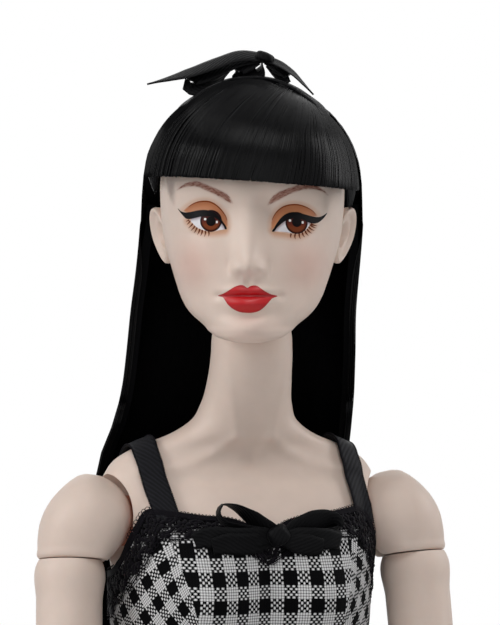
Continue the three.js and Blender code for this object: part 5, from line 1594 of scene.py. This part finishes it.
# Flowers, leaves and stems, with a few open windows between them
for k in range(REPEATS):
    s0 = (k + 0.5) * REPEAT
    jitter = rng.uniform(-0.35, 0.35, 3)
    for j in range(7):
        a = j / 7 * 2 * np.pi + jitter[2]
        petals.append(leaf(s0 + jitter[0] + 1.15 * math.cos(a), 2.55 + 1.1 * math.sin(a), 1.75, 1.12, a, 0.28))
    petals.append(leaf(s0 + jitter[0], 2.55, 0.75, 0.7, 0, 0.4, 0.16))
    for w1, lean, long in ((0.1, 0.1, 1.9), (0.75, 0.5, 1.9), (1.45, -0.6, 2.0), (2.2, 1.2, 1.8), (2.9, -1.2, 1.8),
                           (3.6, 0.7, 2.0), (4.2, -0.4, 1.9), (4.8, 0.2, 1.6)):
        if rng.random() < 0.84:
            petals.append(leaf(k * REPEAT + rng.uniform(-0.35, 0.35), w1, long, 0.95, lean + rng.normal(0, 0.2),
                               0.22))
    for ds in (-1.75, 1.75):
        for w1, lean in ((0.15, 0.1), (0.8, -0.6), (1.4, 0.9), (3.75, 0.8), (4.3, -0.5), (4.9, 0.7)):
            if rng.random() < 0.8:
                petals.append(leaf(s0 + ds + rng.uniform(-0.3, 0.3), w1, 1.7, 0.88, lean * math.copysign(1, ds),
                                   0.24))
flat = np.array([p[0] for p in petals])
lifts = np.array([p[1] for p in petals])
placed_petals = wrapped(flat[..., 0], flat[..., 1], lifts)
faces = [[i + 12 * k for i in face] for k in range(len(petals)) for face in petals[0][2]]
lace_parts.append((placed_petals.reshape(-1, 3), faces))


def cord_line(offset, depth, radius, lift, steps=REPEATS * 18):
    s = np.arange(steps + 1) / steps * EDGE_LENGTH
    w = depth(s) if callable(depth) else np.full(len(s), depth)
    path = wrapped(s, w + offset, lift)
    return tubes(path[None], radius, 5, 1, None, False)


for depth in (-1.0, -0.72, -0.44, -0.16, 0.12):
    lace_parts.append(cord_line(0, depth, 0.16, 0.2))
lace_parts.append(cord_line(0, lambda s: 2.5 + 1.3 * np.sin(np.pi * s / REPEAT), 0.10, 0.2))
lace_parts.append(cord_line(0, scallop, 0.13, 0.22))
lace_parts.append(cord_line(-0.42, scallop, 0.08, 0.2))
# Picots: small loops along both edges, longer beside the arms
loops = []
for s in np.arange(0, EDGE_LENGTH, 0.78):
    spot = wrapped(np.array([s]), np.array([0.0]), 0.1)[0]
    beside = smooth(15, 26, abs(spot[0]))
    cap_middle = [math.copysign(CAP_CENTRE[0], spot[0]), CAP_CENTRE[1] + BALANCE, SHOULDER]
    t = np.linspace(0, 2 * np.pi, 7)
    size = 0.22 + 0.16 * beside + 0.05 * rng.random()
    if np.linalg.norm(spot - cap_middle) > CAP_RADIUS + 2:
        loops.append(np.c_[s + size * np.sin(t), -0.95 - size * (1 - np.cos(t)), np.full(7, 0.2)])
    loops.append(np.c_[s + size * np.sin(t), scallop(np.array([s]))[0] + size * (1 - np.cos(t)), np.full(7, 0.2)])
loops = np.array(loops)
points, faces = tubes(wrapped(loops[..., 0], loops[..., 1], loops[..., 2]), 0.085, 4, 1, None, False)
lace_parts.append((points, faces))
points, faces = joined([(p, [list(f) for f in q]) for p, q in lace_parts])
for _, sign in SIDES:
    away = points - [sign * CAP_CENTRE[0], CAP_CENTRE[1] + BALANCE, SHOULDER]
    gap = np.linalg.norm(away, axis=1, keepdims=True)
    points = points + away / gap * np.maximum(0, CAP_RADIUS + 0.5 - gap)
lace = make("lace_edging", points, faces, lace_black)
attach(lace, "torso")
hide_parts("neckline_lace")


# Straps, laid over the shoulders

def over_shoulder(x, phi):
    """The body's surface seen from inside the chest at an angle in the plane across x."""
    out = np.empty((len(phi), 3))
    for i, p in enumerate(phi):
        way = Vector((0, -math.cos(p), math.sin(p)))
        spot, _, _, _ = body_form.ray_cast(Vector((x[i], BALANCE - 1, 305)), way, 60)
        out[i] = spot
    return out


for side, sign in SIDES:
    phi = np.radians(np.linspace(20, 188, 76))
    lines = []
    low_x = 24.7 if sign > 0 else 20.2
    for w in np.linspace(-2.35, 2.35, 9):
        x = w + np.interp(np.degrees(phi), [22, 76], [low_x, 22.7])
        lines.append(over_shoulder(sign * x, phi))
    lines = np.array(lines)
    for _ in range(3):
        lines[:, 1:-1] = (lines[:, :-2] + 2 * lines[:, 1:-1] + lines[:, 2:]) / 4
    centre = lines[4]
    wide = lines[8] - lines[0]
    rise = 0.5 - 0.25 * smooth(40, 26, np.degrees(phi))
    top, low = draped(lines, rise), draped(lines, 0.1)
    ring = np.concatenate([top, low[::-1]]).transpose(1, 0, 2)
    rows, count = ring.shape[:2]
    faces = band_faces(rows, count)
    length = np.r_[0, np.cumsum(np.linalg.norm(np.diff(centre, axis=0), axis=1))]
    u = np.tile(np.r_[np.linspace(-2.35, 2.35, 9), np.linspace(2.35, -2.35, 9)], rows)
    strap = outward(make(f"strap_{side}_ribbon", ring.reshape(-1, 3), faces, ribbon_black))
    weave_places(strap, np.c_[u, np.repeat(length, count)])
    beads = []
    for border in (top[0], top[-1]):
        run = curve(border, int(length[-1] / 0.46))
        beads.append(run)
    bead_points, bead_faces = [], []
    octa = np.array([(1, 0, 0), (-1, 0, 0), (0, 1, 0), (0, -1, 0), (0, 0, 1), (0, 0, -1)]) * 0.24
    octa_faces = [(0, 2, 4), (2, 1, 4), (1, 3, 4), (3, 0, 4), (2, 0, 5), (1, 2, 5), (3, 1, 5), (0, 3, 5)]
    for spot in np.vstack(beads):
        bead_faces += [[i + len(bead_points) * 6 for i in face] for face in octa_faces]
        bead_points.append(octa + spot)
    picots = make(f"strap_{side}_picots", np.vstack(bead_points), bead_faces, lace_black)
    for piece in (strap, picots):
        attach(piece, "torso")
    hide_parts(f"strap_{side}")


def wrapped_knot(centre, size, turned):
    """A soft knot: a rounded block with creased folds."""
    t = np.arange(28) / 28 * 2 * np.pi
    rings = []
    for v in np.linspace(-1, 1, 15):
        r = (1 - abs(v) ** 3.5) ** 0.5 + 0.02
        fold = 1 + 0.05 * np.sin(5 * t + 2 * v) * (1 - v * v)
        rings.append(np.stack([size[0] * r * np.cos(t) * fold, size[1] * r * np.sin(t) * fold,
                               size[2] * v + 0 * t], 1))
    points, faces = loft(np.array(rings))
    return moved(points, shift(*centre) @ turned), faces


# Bow at the bust, knotted over the lace

def chest_front(x, z):
    spot, _, _, _ = body_form.ray_cast(Vector((x, -80, z)), Vector((0, 1, 0)), 120)
    return spot[1]


def bow_band(places, widths, leans, steps=44, thick=0.32):
    """A ribbon through (x, out of the body, z) places. leans turn its width from the depth to upright."""
    p = curve([(x, chest_front(x, z) - 1.3 - y, z) for x, y, z in places], steps)
    width = np.interp(np.linspace(0, 1, steps), np.linspace(0, 1, len(widths)), widths)
    lean = np.radians(np.interp(np.linspace(0, 1, steps), np.linspace(0, 1, len(leans)), leans))
    wide = np.stack([0.12 * np.sin(lean), -np.cos(lean), np.sin(lean)], 1)
    return ribbon(p, wide, width, thick, 7, 0.12)


bands = [
    bow_band([(2.8, 1.9, 307.4), (-0.6, 2.6, 309.0), (-4.4, 3.1, 311.6), (-7.6, 3.2, 313.5), (-9.7, 2.8, 313.8),
              (-10.6, 2.2, 312.2), (-9.8, 1.7, 310.4), (-6.6, 1.5, 309.0), (-2.0, 1.4, 308.0), (2.2, 1.3, 307.2)],
             [2.2, 3.9, 4.5, 4.2, 3.6, 3.4, 3.2, 3.0, 2.8, 2.2], [66, 60, 50, 26, 6, 8, 26, 46, 60, 70]),
    bow_band([(2.9, 1.8, 307.6), (6.2, 2.6, 309.2), (9.6, 2.9, 310.2), (12.8, 2.5, 310.3), (15.6, 1.7, 309.3),
              (16.0, 1.2, 308.3), (13.4, 1.0, 307.6), (9, 1.1, 307.4), (2.9, 1.2, 307.4)],
             [2.2, 4.0, 4.8, 4.8, 4.2, 3.4, 3.2, 3.4, 2.4], [70, 76, 80, 74, 50, 40, 52, 68, 76]),
    bow_band([(2.0, 1.3, 307.2), (-2.6, 1.7, 307.0), (-7.0, 1.5, 306.8), (-11.2, 1.2, 307.0), (-14.2, 0.9, 307.0),
              (-16.2, 0.6, 306.2)], [2.6, 4.2, 4.7, 4.8, 4.6, 3.4], [82, 84, 80, 84, 82, 82]),
    bow_band([(1.8, 0.8, 306.6), (-2.6, 0.9, 305.8), (-6.2, 0.8, 305.6), (-9.8, 0.6, 305.7), (-12.6, 0.5, 305.2)],
             [2.6, 4.2, 4.7, 4.6, 3.6], [82, 84, 82, 84, 84]),
    bow_band([(2.8, 1.3, 307.2), (6.4, 1.7, 306.9), (10.2, 1.4, 306.5), (13.6, 1.0, 306.3), (16.2, 0.5, 305.8)],
             [2.6, 4.2, 4.8, 4.6, 3.6], [80, 84, 80, 84, 84]),
    bow_band([(2.8, 0.8, 306.4), (5.6, 0.9, 305.7), (8.4, 0.8, 305.2), (11.6, 0.6, 304.8)],
             [2.4, 4.4, 4.6, 3.4], [82, 84, 84, 84])]
points, faces = joined([(p, f) for p, f, _ in bands])
bust_bow = weave_places(outward(make("bust_bow_ribbon", points, faces, shaded_ribbon)),
                        np.vstack([c for _, _, c in bands]))
points, faces = wrapped_knot((1.9, chest_front(1.9, 307) - 3.2, 307.4), (2.3, 1.5, 2.3), turn("Y", -35))
bust_knot = weave_places(make("bust_bow_tie", points, faces, shaded_ribbon), points[:, [0, 2]])
for piece, node in ((bust_bow, "bust_bow"), (bust_knot, "bust_bow_knot")):
    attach(piece, "torso")
    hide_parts(node)


# Headband and the bow on it, in the head's frame
BAND_WAY = np.array([0, 0.515, 0.857])
BAND_BASE = np.array([0, -17.3, 29.75]) + BAND_WAY * 8


def on_band(psi, sideways, lift):
    """Points of the hair's form in the band's plane, moved across it."""
    origin = BAND_BASE + np.array([0, 0.857, -0.515]) * np.asarray(sideways)[..., None]
    way = np.cos(psi)[..., None] * [1.0, 0, 0] + np.sin(psi)[..., None] * BAND_WAY
    low, high = np.full(psi.shape, 1.0), np.full(psi.shape, 48.0)
    for _ in range(24):
        mid = (low + high) / 2
        p = origin + way * mid[..., None]
        over = (form_size(p) > 1) | (p[..., 2] > CROWN_TOP)
        low, high = np.where(over, low, mid), np.where(over, mid, high)
    return origin + way * (low + lift)[..., None]


psi = np.linspace(math.radians(24), math.radians(156), 90)
sideways = np.linspace(-1.7, 1.7, 7)
grid_psi, grid_side = np.meshgrid(psi, sideways, indexing="ij")
tuck = 0.45 - 0.9 * smooth(math.radians(44), math.radians(24), np.pi / 2 - np.abs(grid_psi - np.pi / 2))
top = on_band(grid_psi, grid_side, tuck)
low = on_band(grid_psi, grid_side, tuck - 0.5)
ring = np.concatenate([top, low[:, ::-1]], 1)
rows, count = ring.shape[:2]
faces = band_faces(rows, count)
band = outward(make("headband_ribbon", ring.reshape(-1, 3), faces, shaded_ribbon))
length = np.r_[0, np.cumsum(np.linalg.norm(np.diff(top[:, 3], axis=0), axis=1))]
weave_places(band, np.c_[np.tile(np.r_[sideways, sideways[::-1]], rows), np.repeat(length, count)])
settle(band, head_place)
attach(band, "head")
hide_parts("headband")


def head_ribbon(places, widths, leans, steps=44):
    """As the bust bow's ribbons. leans turn the width from the depth down towards the viewer."""
    p = curve(places, steps)
    width = np.interp(np.linspace(0, 1, steps), np.linspace(0, 1, len(widths)), widths)
    lean = np.radians(np.interp(np.linspace(0, 1, steps), np.linspace(0, 1, len(leans)), leans))
    wide = np.stack([0 * lean, -np.cos(lean), -np.sin(lean)], 1)
    return ribbon(p, wide, width, 0.34, 7, 0.1)


bands = [
    head_ribbon([(2.6, -3.0, 57.3), (1.1, -3.1, 57.6), (-2.8, -3.4, 57.7), (-7.1, -3.8, 56.3), (-12.8, -4.3, 54.2),
                 (-18, -4.6, 52.7), (-22.5, -4.9, 51.5)],
                [3.6, 4.6, 4.9, 5.0, 4.6, 3.0, 0.4], [34, 34, 34, 33, 30, 22, 12]),
    head_ribbon([(2.0, -2.9, 57.0), (-2.6, -2.9, 56.6), (-6.5, -3.1, 55.2), (-10.5, -3.4, 53.6), (-13.6, -3.7, 52.5),
                 (-13.2, -4.0, 51.4), (-10.6, -4.1, 51.0), (-8.0, -3.9, 52.2), (-5.9, -3.6, 54.2), (-4.2, -3.3, 55.6),
                 (1.6, -3.0, 57.0)],
                [3.0, 4.2, 4.8, 4.8, 4.4, 4.4, 4.6, 4.2, 3.4, 3.0, 2.8],
                [34, 34, 40, 48, 55, 60, 58, 46, 30, 26, 24]),
    head_ribbon([(1.6, -3.1, 56.8), (-1.4, -3.2, 55.9), (-3.2, -3.2, 54.8), (-3.2, -3.1, 54.0), (-0.6, -3.0, 53.9),
                 (1.6, -3.0, 54.2), (2.0, -3.0, 55.2), (2.2, -3.0, 56.8)],
                [3.0, 4.2, 4.4, 4.4, 4.4, 4.4, 4.2, 3.0], [40, 60, 62, 62, 62, 62, 60, 40]),
    head_ribbon([(3.0, -3.0, 57.2), (5.6, -3.1, 56.2), (9.0, -3.3, 53.9), (11.2, -3.4, 51.7), (13.4, -3.3, 49.4)],
                [3.2, 4.4, 4.6, 3.6, 0.5], [26, 24, 20, 14, 6]),
    head_ribbon([(3.0, -3.0, 56.6), (5.4, -3.0, 55.5), (7.2, -3.0, 54.3), (8.0, -3.0, 53.4), (6.8, -2.9, 53.2),
                 (5.2, -2.9, 54.2), (3.4, -3.0, 55.8)],
                [3.0, 4.2, 4.4, 4.4, 4.2, 4.0, 3.0], [30, 34, 38, 44, 44, 34, 28])]
points, faces = joined([(p, f) for p, f, _ in bands])
head_bow = weave_places(outward(make("head_bow_ribbon", points, faces, shaded_ribbon)),
                        np.vstack([c for _, _, c in bands]))
points, faces = wrapped_knot((2.8, -3.1, 57.4), (2.1, 2.3, 1.25), turn("Y", 22))
head_knot = weave_places(make("head_bow_tie", points, faces, shaded_ribbon), points[:, [0, 1]])
for piece, node in ((head_bow, "head_bow"), (head_knot, "head_bow_knot")):
    settle(piece, head_place)
    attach(piece, "head")
    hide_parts(node)


# Arms and legs: fine versions of the frame's limbs with the same slots and bores

def places(sign):
    """World matrices of one side's joints."""
    swing = shift(sign * CAP_CENTRE[0], CAP_CENTRE[1] + BALANCE, SHOULDER) @ turn("X", -9)
    cap = swing @ turn("Y", -sign * 3.5)
    arm = cap @ shift(sign * ARM_OFFSET, 0, -CAP_CUT - CLEARANCE)
    elbow = arm @ shift(0, 0, -ELBOW_DROP + CAP_CUT + CLEARANCE)
    wrist = elbow @ shift(0, 0, -WRIST_DROP)
    hip = shift(sign * HIP_SPREAD, BALANCE, HIP)
    knee = hip @ shift(-sign * KNEE_INSET, 0, -101)
    return dict(cap=cap, arm=arm, elbow=elbow, wrist=wrist, hip=hip, knee=knee)


def slotted(name, body, adds, cuts, matrix, sign, paint_with=None):
    """A limb from a loft, with forms added and slots cut, set in place."""
    points, faces = mirrored(*body, sign)
    obj = outward(make(name, points, faces))
    if adds:
        combined(obj, [cutter(*form, None, sign) for form in adds], "UNION")
    if cuts:
        combined(obj, [cutter(*form, None, sign) for form in cuts], "DIFFERENCE")
    obj.data.materials.clear()
    obj.data.materials.append(paint_with or skin)
    return settle(obj, matrix)


def at(form, x, y, z):
    return form[0] + [x, y, z], form[1]


CAP_FORM = np.array([
    (-8.2, 9.7, 4.9, 8.0), (-7.95, 9.95, 5.2, 8.25), (-6, 10.1, 7.0, 9.0), (-3, 10.05, 9.2, 10.0),
    (0, 9.55, 10.4, 10.48), (3, 8.35, 10.06, 10.06), (6, 6.3, 8.62, 8.62), (8, 4.4, 6.8, 6.8),
    (9.4, 2.7, 4.68, 4.68), (10.2, 1.3, 2.49, 2.49), (10.48, 0.3, 0.5, 0.5)])
UPPER_ARM = [(0.00, 0.86, 0.99, 0.99, 0), (0.008, 0.885, 1.015, 1.015, 0), (0.18, 0.90, 0.99, 0.99, 0),
             (0.45, 0.88, 0.94, 0.93, 0.01), (0.75, 0.80, 0.82, 0.84, 0), (0.92, 0.75, 0.77, 0.77, 0),
             (1.00, 0.70, 0.70, 0.70, 0)]
FOREARM = [(0.00, 0.78, 0.80, 0.80, 0), (0.02, 0.83, 0.84, 0.84, 0), (0.08, 0.93, 0.93, 0.95, 0),
           (0.26, 1.00, 1.00, 1.02, 0), (0.55, 0.86, 0.88, 0.90, 0), (0.85, 0.66, 0.70, 0.70, 0),
           (0.985, 0.62, 0.68, 0.68, 0), (1.00, 0.60, 0.65, 0.65, 0)]
THIGH = [(0.05, 1.000, 1.000, 1.000, 0.00), (0.16, 0.985, 0.985, 0.985, 0.00), (0.32, 0.940, 0.945, 0.940, 0.03),
         (0.52, 0.820, 0.850, 0.820, 0.06), (0.74, 0.680, 0.715, 0.690, 0.05), (0.90, 0.620, 0.640, 0.630, 0.02),
         (1.00, 0.560, 0.570, 0.570, 0.00)]
SHIN = [(0.00, 0.80, 0.80, 0.80, 0.00), (0.02, 0.85, 0.85, 0.86, 0.00), (0.10, 0.92, 0.91, 0.96, 0.00),
        (0.26, 1.00, 0.92, 1.12, 0.00), (0.48, 0.86, 0.82, 0.96, 0.00), (0.72, 0.62, 0.64, 0.66, 0.00),
        (1.00, 0.53, 0.56, 0.56, 0.00)]
STEM_BORE = (rod("z", 1.8, -0.3, 4), rod("z", 2.9, 2.7, 4.3))


def stem(z):
    return [at(rod("z", 1.5, -0.9, 3.5), 0, 0, z), at(rod("z", 2.6, 3, 4), 0, 0, z)]


def shoulder_form():
    z = np.r_[np.linspace(-8.2, -7.7, 5), np.linspace(-7.3, 8, 44), np.linspace(8.4, 10.48, 12)]
    far, near, deep = hermite(CAP_FORM, z).T
    a = np.arange(80) / 80 * 2 * np.pi
    x = np.where(np.cos(a) > 0, far[:, None], near[:, None]) * np.cos(a)
    return loft(np.stack([x, deep[:, None] * np.sin(a), z[:, None] + 0 * x], -1))


def foot_form(growth, sole, count=56):
    """A foot lying along -y, or the same grown into a shoe."""
    table = [(0.00, 0.40, 0.40), (0.02, 0.54, 0.60), (0.08, 0.68, 0.80), (0.25, 0.72, 1.00), (0.45, 0.78, 0.78),
             (0.68, 1.00, 0.48), (0.85, 0.92, 0.36), (0.96, 0.62, 0.27), (0.99, 0.42, 0.21), (1.00, 0.30, 0.17)]
    share = np.r_[np.linspace(0, 0.1, 10), np.linspace(0.13, 0.9, 34), np.linspace(0.915, 1, 14)]
    half, top = hermite(table, share).T
    height, length = 17 + growth, 40 + 2 * growth
    middle, upper = (top * height * 0.4)[:, None], (top * height * 0.6)[:, None]
    a = np.arange(count) / count * 2 * np.pi
    c, s = np.cos(a), np.sin(a)
    x = (half * 8 + growth)[:, None] * np.sign(c) * np.abs(c) ** (2 / 2.3)
    z = middle + np.where(s < 0, 2 * (middle + sole), upper) * np.sign(s) * np.abs(s) ** (2 / 2.3)
    x = x + 0.9 * (np.sin(np.pi * share) * share)[:, None]
    y = (11 + growth - share * length)[:, None] + 0 * x
    return loft(np.stack([x, y, np.maximum(z, -sole)], -1))


shoe_leather = material("shoe_leather", linear(17, 17, 19), 0.32, Specular_IOR_Level=0.5)
shoe_nodes = Nodes(shoe_leather)
shoe_nodes.to("Base Color", shoe_nodes.mix(shoe_nodes.noise(900, 4), linear(13, 13, 15), linear(24, 24, 27)))
shoe_nodes.to("Roughness", shoe_nodes.math("ADD", 0.28, shoe_nodes.math("MULTIPLY", shoe_nodes.noise(600, 3), 0.2)))
shoe_nodes.bump(shoe_nodes.noise(2600, 4), 0.2, 0.00004)

for side, sign in SIDES:
    m = places(sign)
    drop = ELBOW_DROP - CAP_CUT - CLEARANCE
    cuts = [slot_y(3.8, 3.3, 1.9, 3.5, 63.5, 10.8), rod("y", 1.5, -5.25, 5.25)]
    cuts += [at(form, ARM_OFFSET, 0, -CAP_CUT) for form in STEM_BORE]
    cap = slotted(f"shoulder_cap_{side}_skin", shoulder_form(), [], cuts, m["cap"], sign)
    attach(cap, f"shoulder_cap_{side}")
    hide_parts(f"shoulder_cap_{side}")

    cuts = [at(slot_x(4.6, 5.27, 3.844, 0, 95, 12.4), 0, 0, -drop), at(rod("x", 1.5, -12.4, 12.4), 0, 0, -drop)]
    shaft = limb(UPPER_ARM, drop, ARM_RADIUS)
    shaft[..., 0] += 0.8 * smooth(-45, -4, shaft[..., 2])
    arm = slotted(f"upper_arm_{side}_skin", loft(shaft),
                  [at(ball(ELBOW_RADIUS, 56), 0, 0, -drop), *stem(0)], cuts, m["arm"], sign)
    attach(arm, f"upper_arm_{side}")
    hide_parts(f"upper_arm_{side}")

    gap = ELBOW_RADIUS + 0.6
    shaft = limb(FOREARM, WRIST_DROP - gap - 0.3, FOREARM_RADIUS) - [0, 0, gap]
    neck_block = wedge([(-3.544, -7.1), (3.544, -7.1), (3.544, 0), (-3.544, 0)], -1.97, 1.97)
    cuts = [rod("x", 1.5, -4, 4)] + [at(form, 0, 0, -WRIST_DROP + 0.3) for form in STEM_BORE]
    fore = slotted(f"forearm_{side}_skin", loft(shaft), [rod("x", 4.97, -2, 2, 48), neck_block], cuts,
                   m["elbow"], sign)
    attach(fore, f"forearm_{side}")
    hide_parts(f"forearm_{side}")

    knee = (-KNEE_INSET, 0, -101)
    cuts = [at(slot_x(6.6, 7.99, 5.828, -95, 0, 18.8), *knee), at(rod("x", 1.5, -18.8, 18.8), *knee),
            slot_y(5.4, 5.4, 2.7, 0, 27, 15.5), rod("y", 1.98, -8.36, 8.36)]
    leg = slotted(f"thigh_{side}_skin", loft(limb(THIGH, 101, HIP_RADIUS, 64, 84, KNEE_INSET)),
                  [ball(HIP_RADIUS, 64), at(ball(KNEE_RADIUS, 56), *knee)], cuts, m["hip"], sign)
    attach(leg, f"thigh_{side}")
    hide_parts(f"thigh_{side}")

    gap = KNEE_RADIUS + 0.6
    shaft = limb(SHIN, KNEE - 24 - gap, CALF_RADIUS, 60, 80) - [0, 0, gap]
    neck_block = wedge([(-5.528, -10.3), (5.528, -10.3), (5.528, 0), (-5.528, 0)], -2.97, 2.97)
    foot = foot_form(0, 0)
    adds = [rod("x", 7.69, -3, 3, 56), neck_block, at(foot, 0, 0, -KNEE + 2.5),
            rod("z", 5.2, -KNEE + 8.5, -KNEE + 25, 56)]
    shin = slotted(f"lower_leg_{side}_skin", loft(shaft), adds, [rod("x", 1.5, -6, 6)], m["knee"], sign)
    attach(shin, f"lower_leg_{side}")
    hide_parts(f"lower_leg_{side}")


# Hands and shoes

nail_paint, _ = mottled("nail", linear(226, 188, 174), 0.22, linear(222, 182, 168), linear(232, 200, 188), 700, 2,
                        Specular_IOR_Level=0.5, Coat_Weight=0.3)
PALM = [(0.00, 1.30, 0.58, 0.58), (0.08, 1.28, 0.60, 0.60), (0.25, 1.20, 0.70, 0.68), (0.60, 1.08, 0.95, 0.90),
        (0.90, 0.96, 1.01, 0.98), (1.00, 0.88, 0.99, 0.96), (1.05, 0.45, 0.90, 0.88)]
FINGER = [(0.00, 1.02), (0.30, 0.96), (0.38, 1.01), (0.46, 0.94), (0.62, 0.86), (0.69, 0.90), (0.76, 0.84),
          (0.90, 0.76), (0.96, 0.60), (0.99, 0.36), (1.00, 0.14)]
FINGERS = [(-0.74, 0.88), (-0.25, 1.00), (0.25, 0.94), (0.74, 0.74)]


def digit(length, radius, curl=0.12):
    t = np.r_[np.linspace(0, 0.9, 30), np.linspace(0.92, 1, 9)]
    r = (hermite(np.array(FINGER), t).ravel() * radius)[:, None]
    a = np.arange(22) / 22 * 2 * np.pi
    x = r * np.cos(a) * 0.94 - (length * curl * t * t)[:, None]
    return loft(np.stack([x, r * np.sin(a), -(t * length)[:, None] + 0 * x], -1))


def nail(length, radius, curl=0.12):
    """A thin curved plate on the back of a fingertip."""
    t = np.linspace(0.80, 0.955, 8)
    r = hermite(np.array(FINGER), t).ravel() * radius
    side = np.sqrt(np.clip(1 - (np.linspace(-1, 1, 8) * 0.97) ** 4, 0, 1)) * 0.62
    rows = []
    for lift in (0.1, -0.25):
        a = np.linspace(-1, 1, 9)[None] * side[:, None]
        radial = r[:, None] * 0.97 + lift
        x = radial * np.cos(a) * 0.94 - (length * curl * t * t)[:, None]
        rows.append(np.stack([x, radial * np.sin(a), -(t * length)[:, None] + 0 * x], -1))
    ring = np.concatenate([rows[0], rows[1][:, ::-1]], 1)
    return loft(ring)


for side, sign in SIDES:
    m = places(sign)
    levels = np.linspace(0, 1.05, 34)
    thick, ahead, behind = hermite(np.array(PALM), levels).T
    a = np.arange(44) / 44 * 2 * np.pi
    c, s = np.cos(a), np.sin(a)
    hollow = 0.45 * np.exp(-((levels - 0.62) / 0.3) ** 2)[:, None] * (c < -0.2) * np.abs(c)
    x = thick[:, None] * 3 * np.sign(c) * np.abs(c) ** 0.9 + hollow
    y = np.where(s < 0, ahead[:, None], behind[:, None]) * 7 * np.sign(s) * np.abs(s) ** 0.9
    palm = loft(np.stack([x, y, -(levels * 17)[:, None] + 0 * x], -1))
    adds, nails = [], []
    for aside, long in FINGERS:
        for form, store in ((digit, adds), (nail, nails)):
            points, faces = form(long * 18 + 3, 1.6)
            store.append((points + np.array([0, aside * 7, -14]), faces))
    splay = shift(-0.6, -3.5, -5.1) @ turn("X", -24)
    for made, store in ((digit(15.3, 1.84), adds), (nail(15.3, 1.84), nails)):
        store.append((moved(made[0], splay), made[1]))
    hand = slotted(f"hand_{side}_skin", palm, [*adds, *stem(0.3)], [], m["wrist"], sign)
    points, faces = joined(nails)
    plates = outward(make(f"hand_{side}_nails", *mirrored(points, faces, sign), nail_paint))
    settle(plates, m["wrist"])
    for piece in (hand, plates):
        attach(piece, f"hand_{side}")
    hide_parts(f"hand_{side}")

sole_rubber, sole_nodes = mottled("sole_rubber", linear(26, 25, 25), 0.75, linear(20, 19, 19), linear(38, 36, 35),
                                  1200, 4)
sole_nodes.bump(sole_nodes.noise(3000, 4), 0.4, 0.00008)
stitch_thread = material("stitch_thread", linear(70, 68, 66), 0.7)
stitch_nodes = Nodes(stitch_thread)
stitch_nodes.bump(stitch_nodes.noise(5000, 2), 0.5, 0.00004)

for side, sign in SIDES:
    m = places(sign)
    ground = np.array([0, 0, -KNEE + 2.5])
    outer = foot_form(1.1, 2.5)
    inner = foot_form(0.3, 0.3)
    open_top = wedge([(-13.6, 8.5), (-11.2, 10.6), (-9.6, 42), (11.4, 42), (11.4, 10.6), (9.0, 9.6)], -16, 16)
    leg_hole = rod("z", 6.1, 0.2, 48, 56)
    upper = outward(make(f"shoe_{side}_upper", *mirrored(outer[0] + ground, outer[1], sign)))
    combined(upper, [cutter(form[0] + ground, form[1], None, sign) for form in (inner, open_top, leg_hole)],
             "DIFFERENCE")
    tree = BVHTree.FromPolygons([tuple(v.co / MM) for v in upper.data.vertices],
                                [tuple(f.vertices) for f in upper.data.polygons])

    def side_hit(way, y):
        """Where a level ray from one side meets the shoe, just above its sole."""
        start = Vector((sign * 0.5 + way * 30, y, ground[2] + 0.5))
        return tree.ray_cast(start, Vector((-way, 0, 0)), 60)[0]

    stitches = []
    for y0 in np.linspace(-26, 9, 44):
        for way in (-1, 1):
            if side_hit(way, y0) is None:
                continue
            hits = [side_hit(way, y0 + step) for step in (-0.26, 0.26)]
            pair = [np.array(hit) for hit in hits if hit is not None]
            if len(pair) == 2:
                stitches.append([pair[0], (pair[0] + pair[1]) / 2 + [way * 0.12, 0, 0], pair[1]])
    thread = make(f"shoe_{side}_stitching", *tubes(np.array(stitches), 0.11, 6), stitch_thread)
    upper.data.materials.clear()
    upper.data.materials.append(shoe_leather)
    upper.data.materials.append(sole_rubber)
    centres = np.empty(len(upper.data.polygons) * 3)
    upper.data.polygons.foreach_get("center", centres)
    low = centres.reshape(-1, 3)[:, 2] / MM < ground[2] - 0.35
    upper.data.polygons.foreach_set("material_index", low.astype(np.int32))
    for piece in (upper, thread):
        settle(piece, m["knee"])
        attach(piece, f"lower_leg_{side}")
    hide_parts(f"shoe_{side}")


# Pegs and pins keep the frame's own shapes

peg_paint, _ = mottled("peg_plastic", linear(214, 138, 108), 0.45, *PEG_TONES, 500)
pin_paint, pin_nodes = mottled("pin_plastic", linear(216, 186, 168), 0.4, linear(208, 176, 158),
                               linear(224, 196, 178), 800)
pin_nodes.bump(pin_nodes.noise(3000, 2), 0.2, 0.00003)


def repainted(node, paint_with):
    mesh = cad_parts[node].data
    mesh.materials.clear()
    mesh.materials.append(paint_with)


for name, paint_with in (("shoulder_peg", peg_paint), ("hip_peg", peg_paint), ("elbow_pin", pin_paint),
                         ("knee_pin", pin_paint)):
    for side, _ in SIDES:
        repainted(f"{name}_{side}", paint_with)
repainted("neck_post", pin_paint)
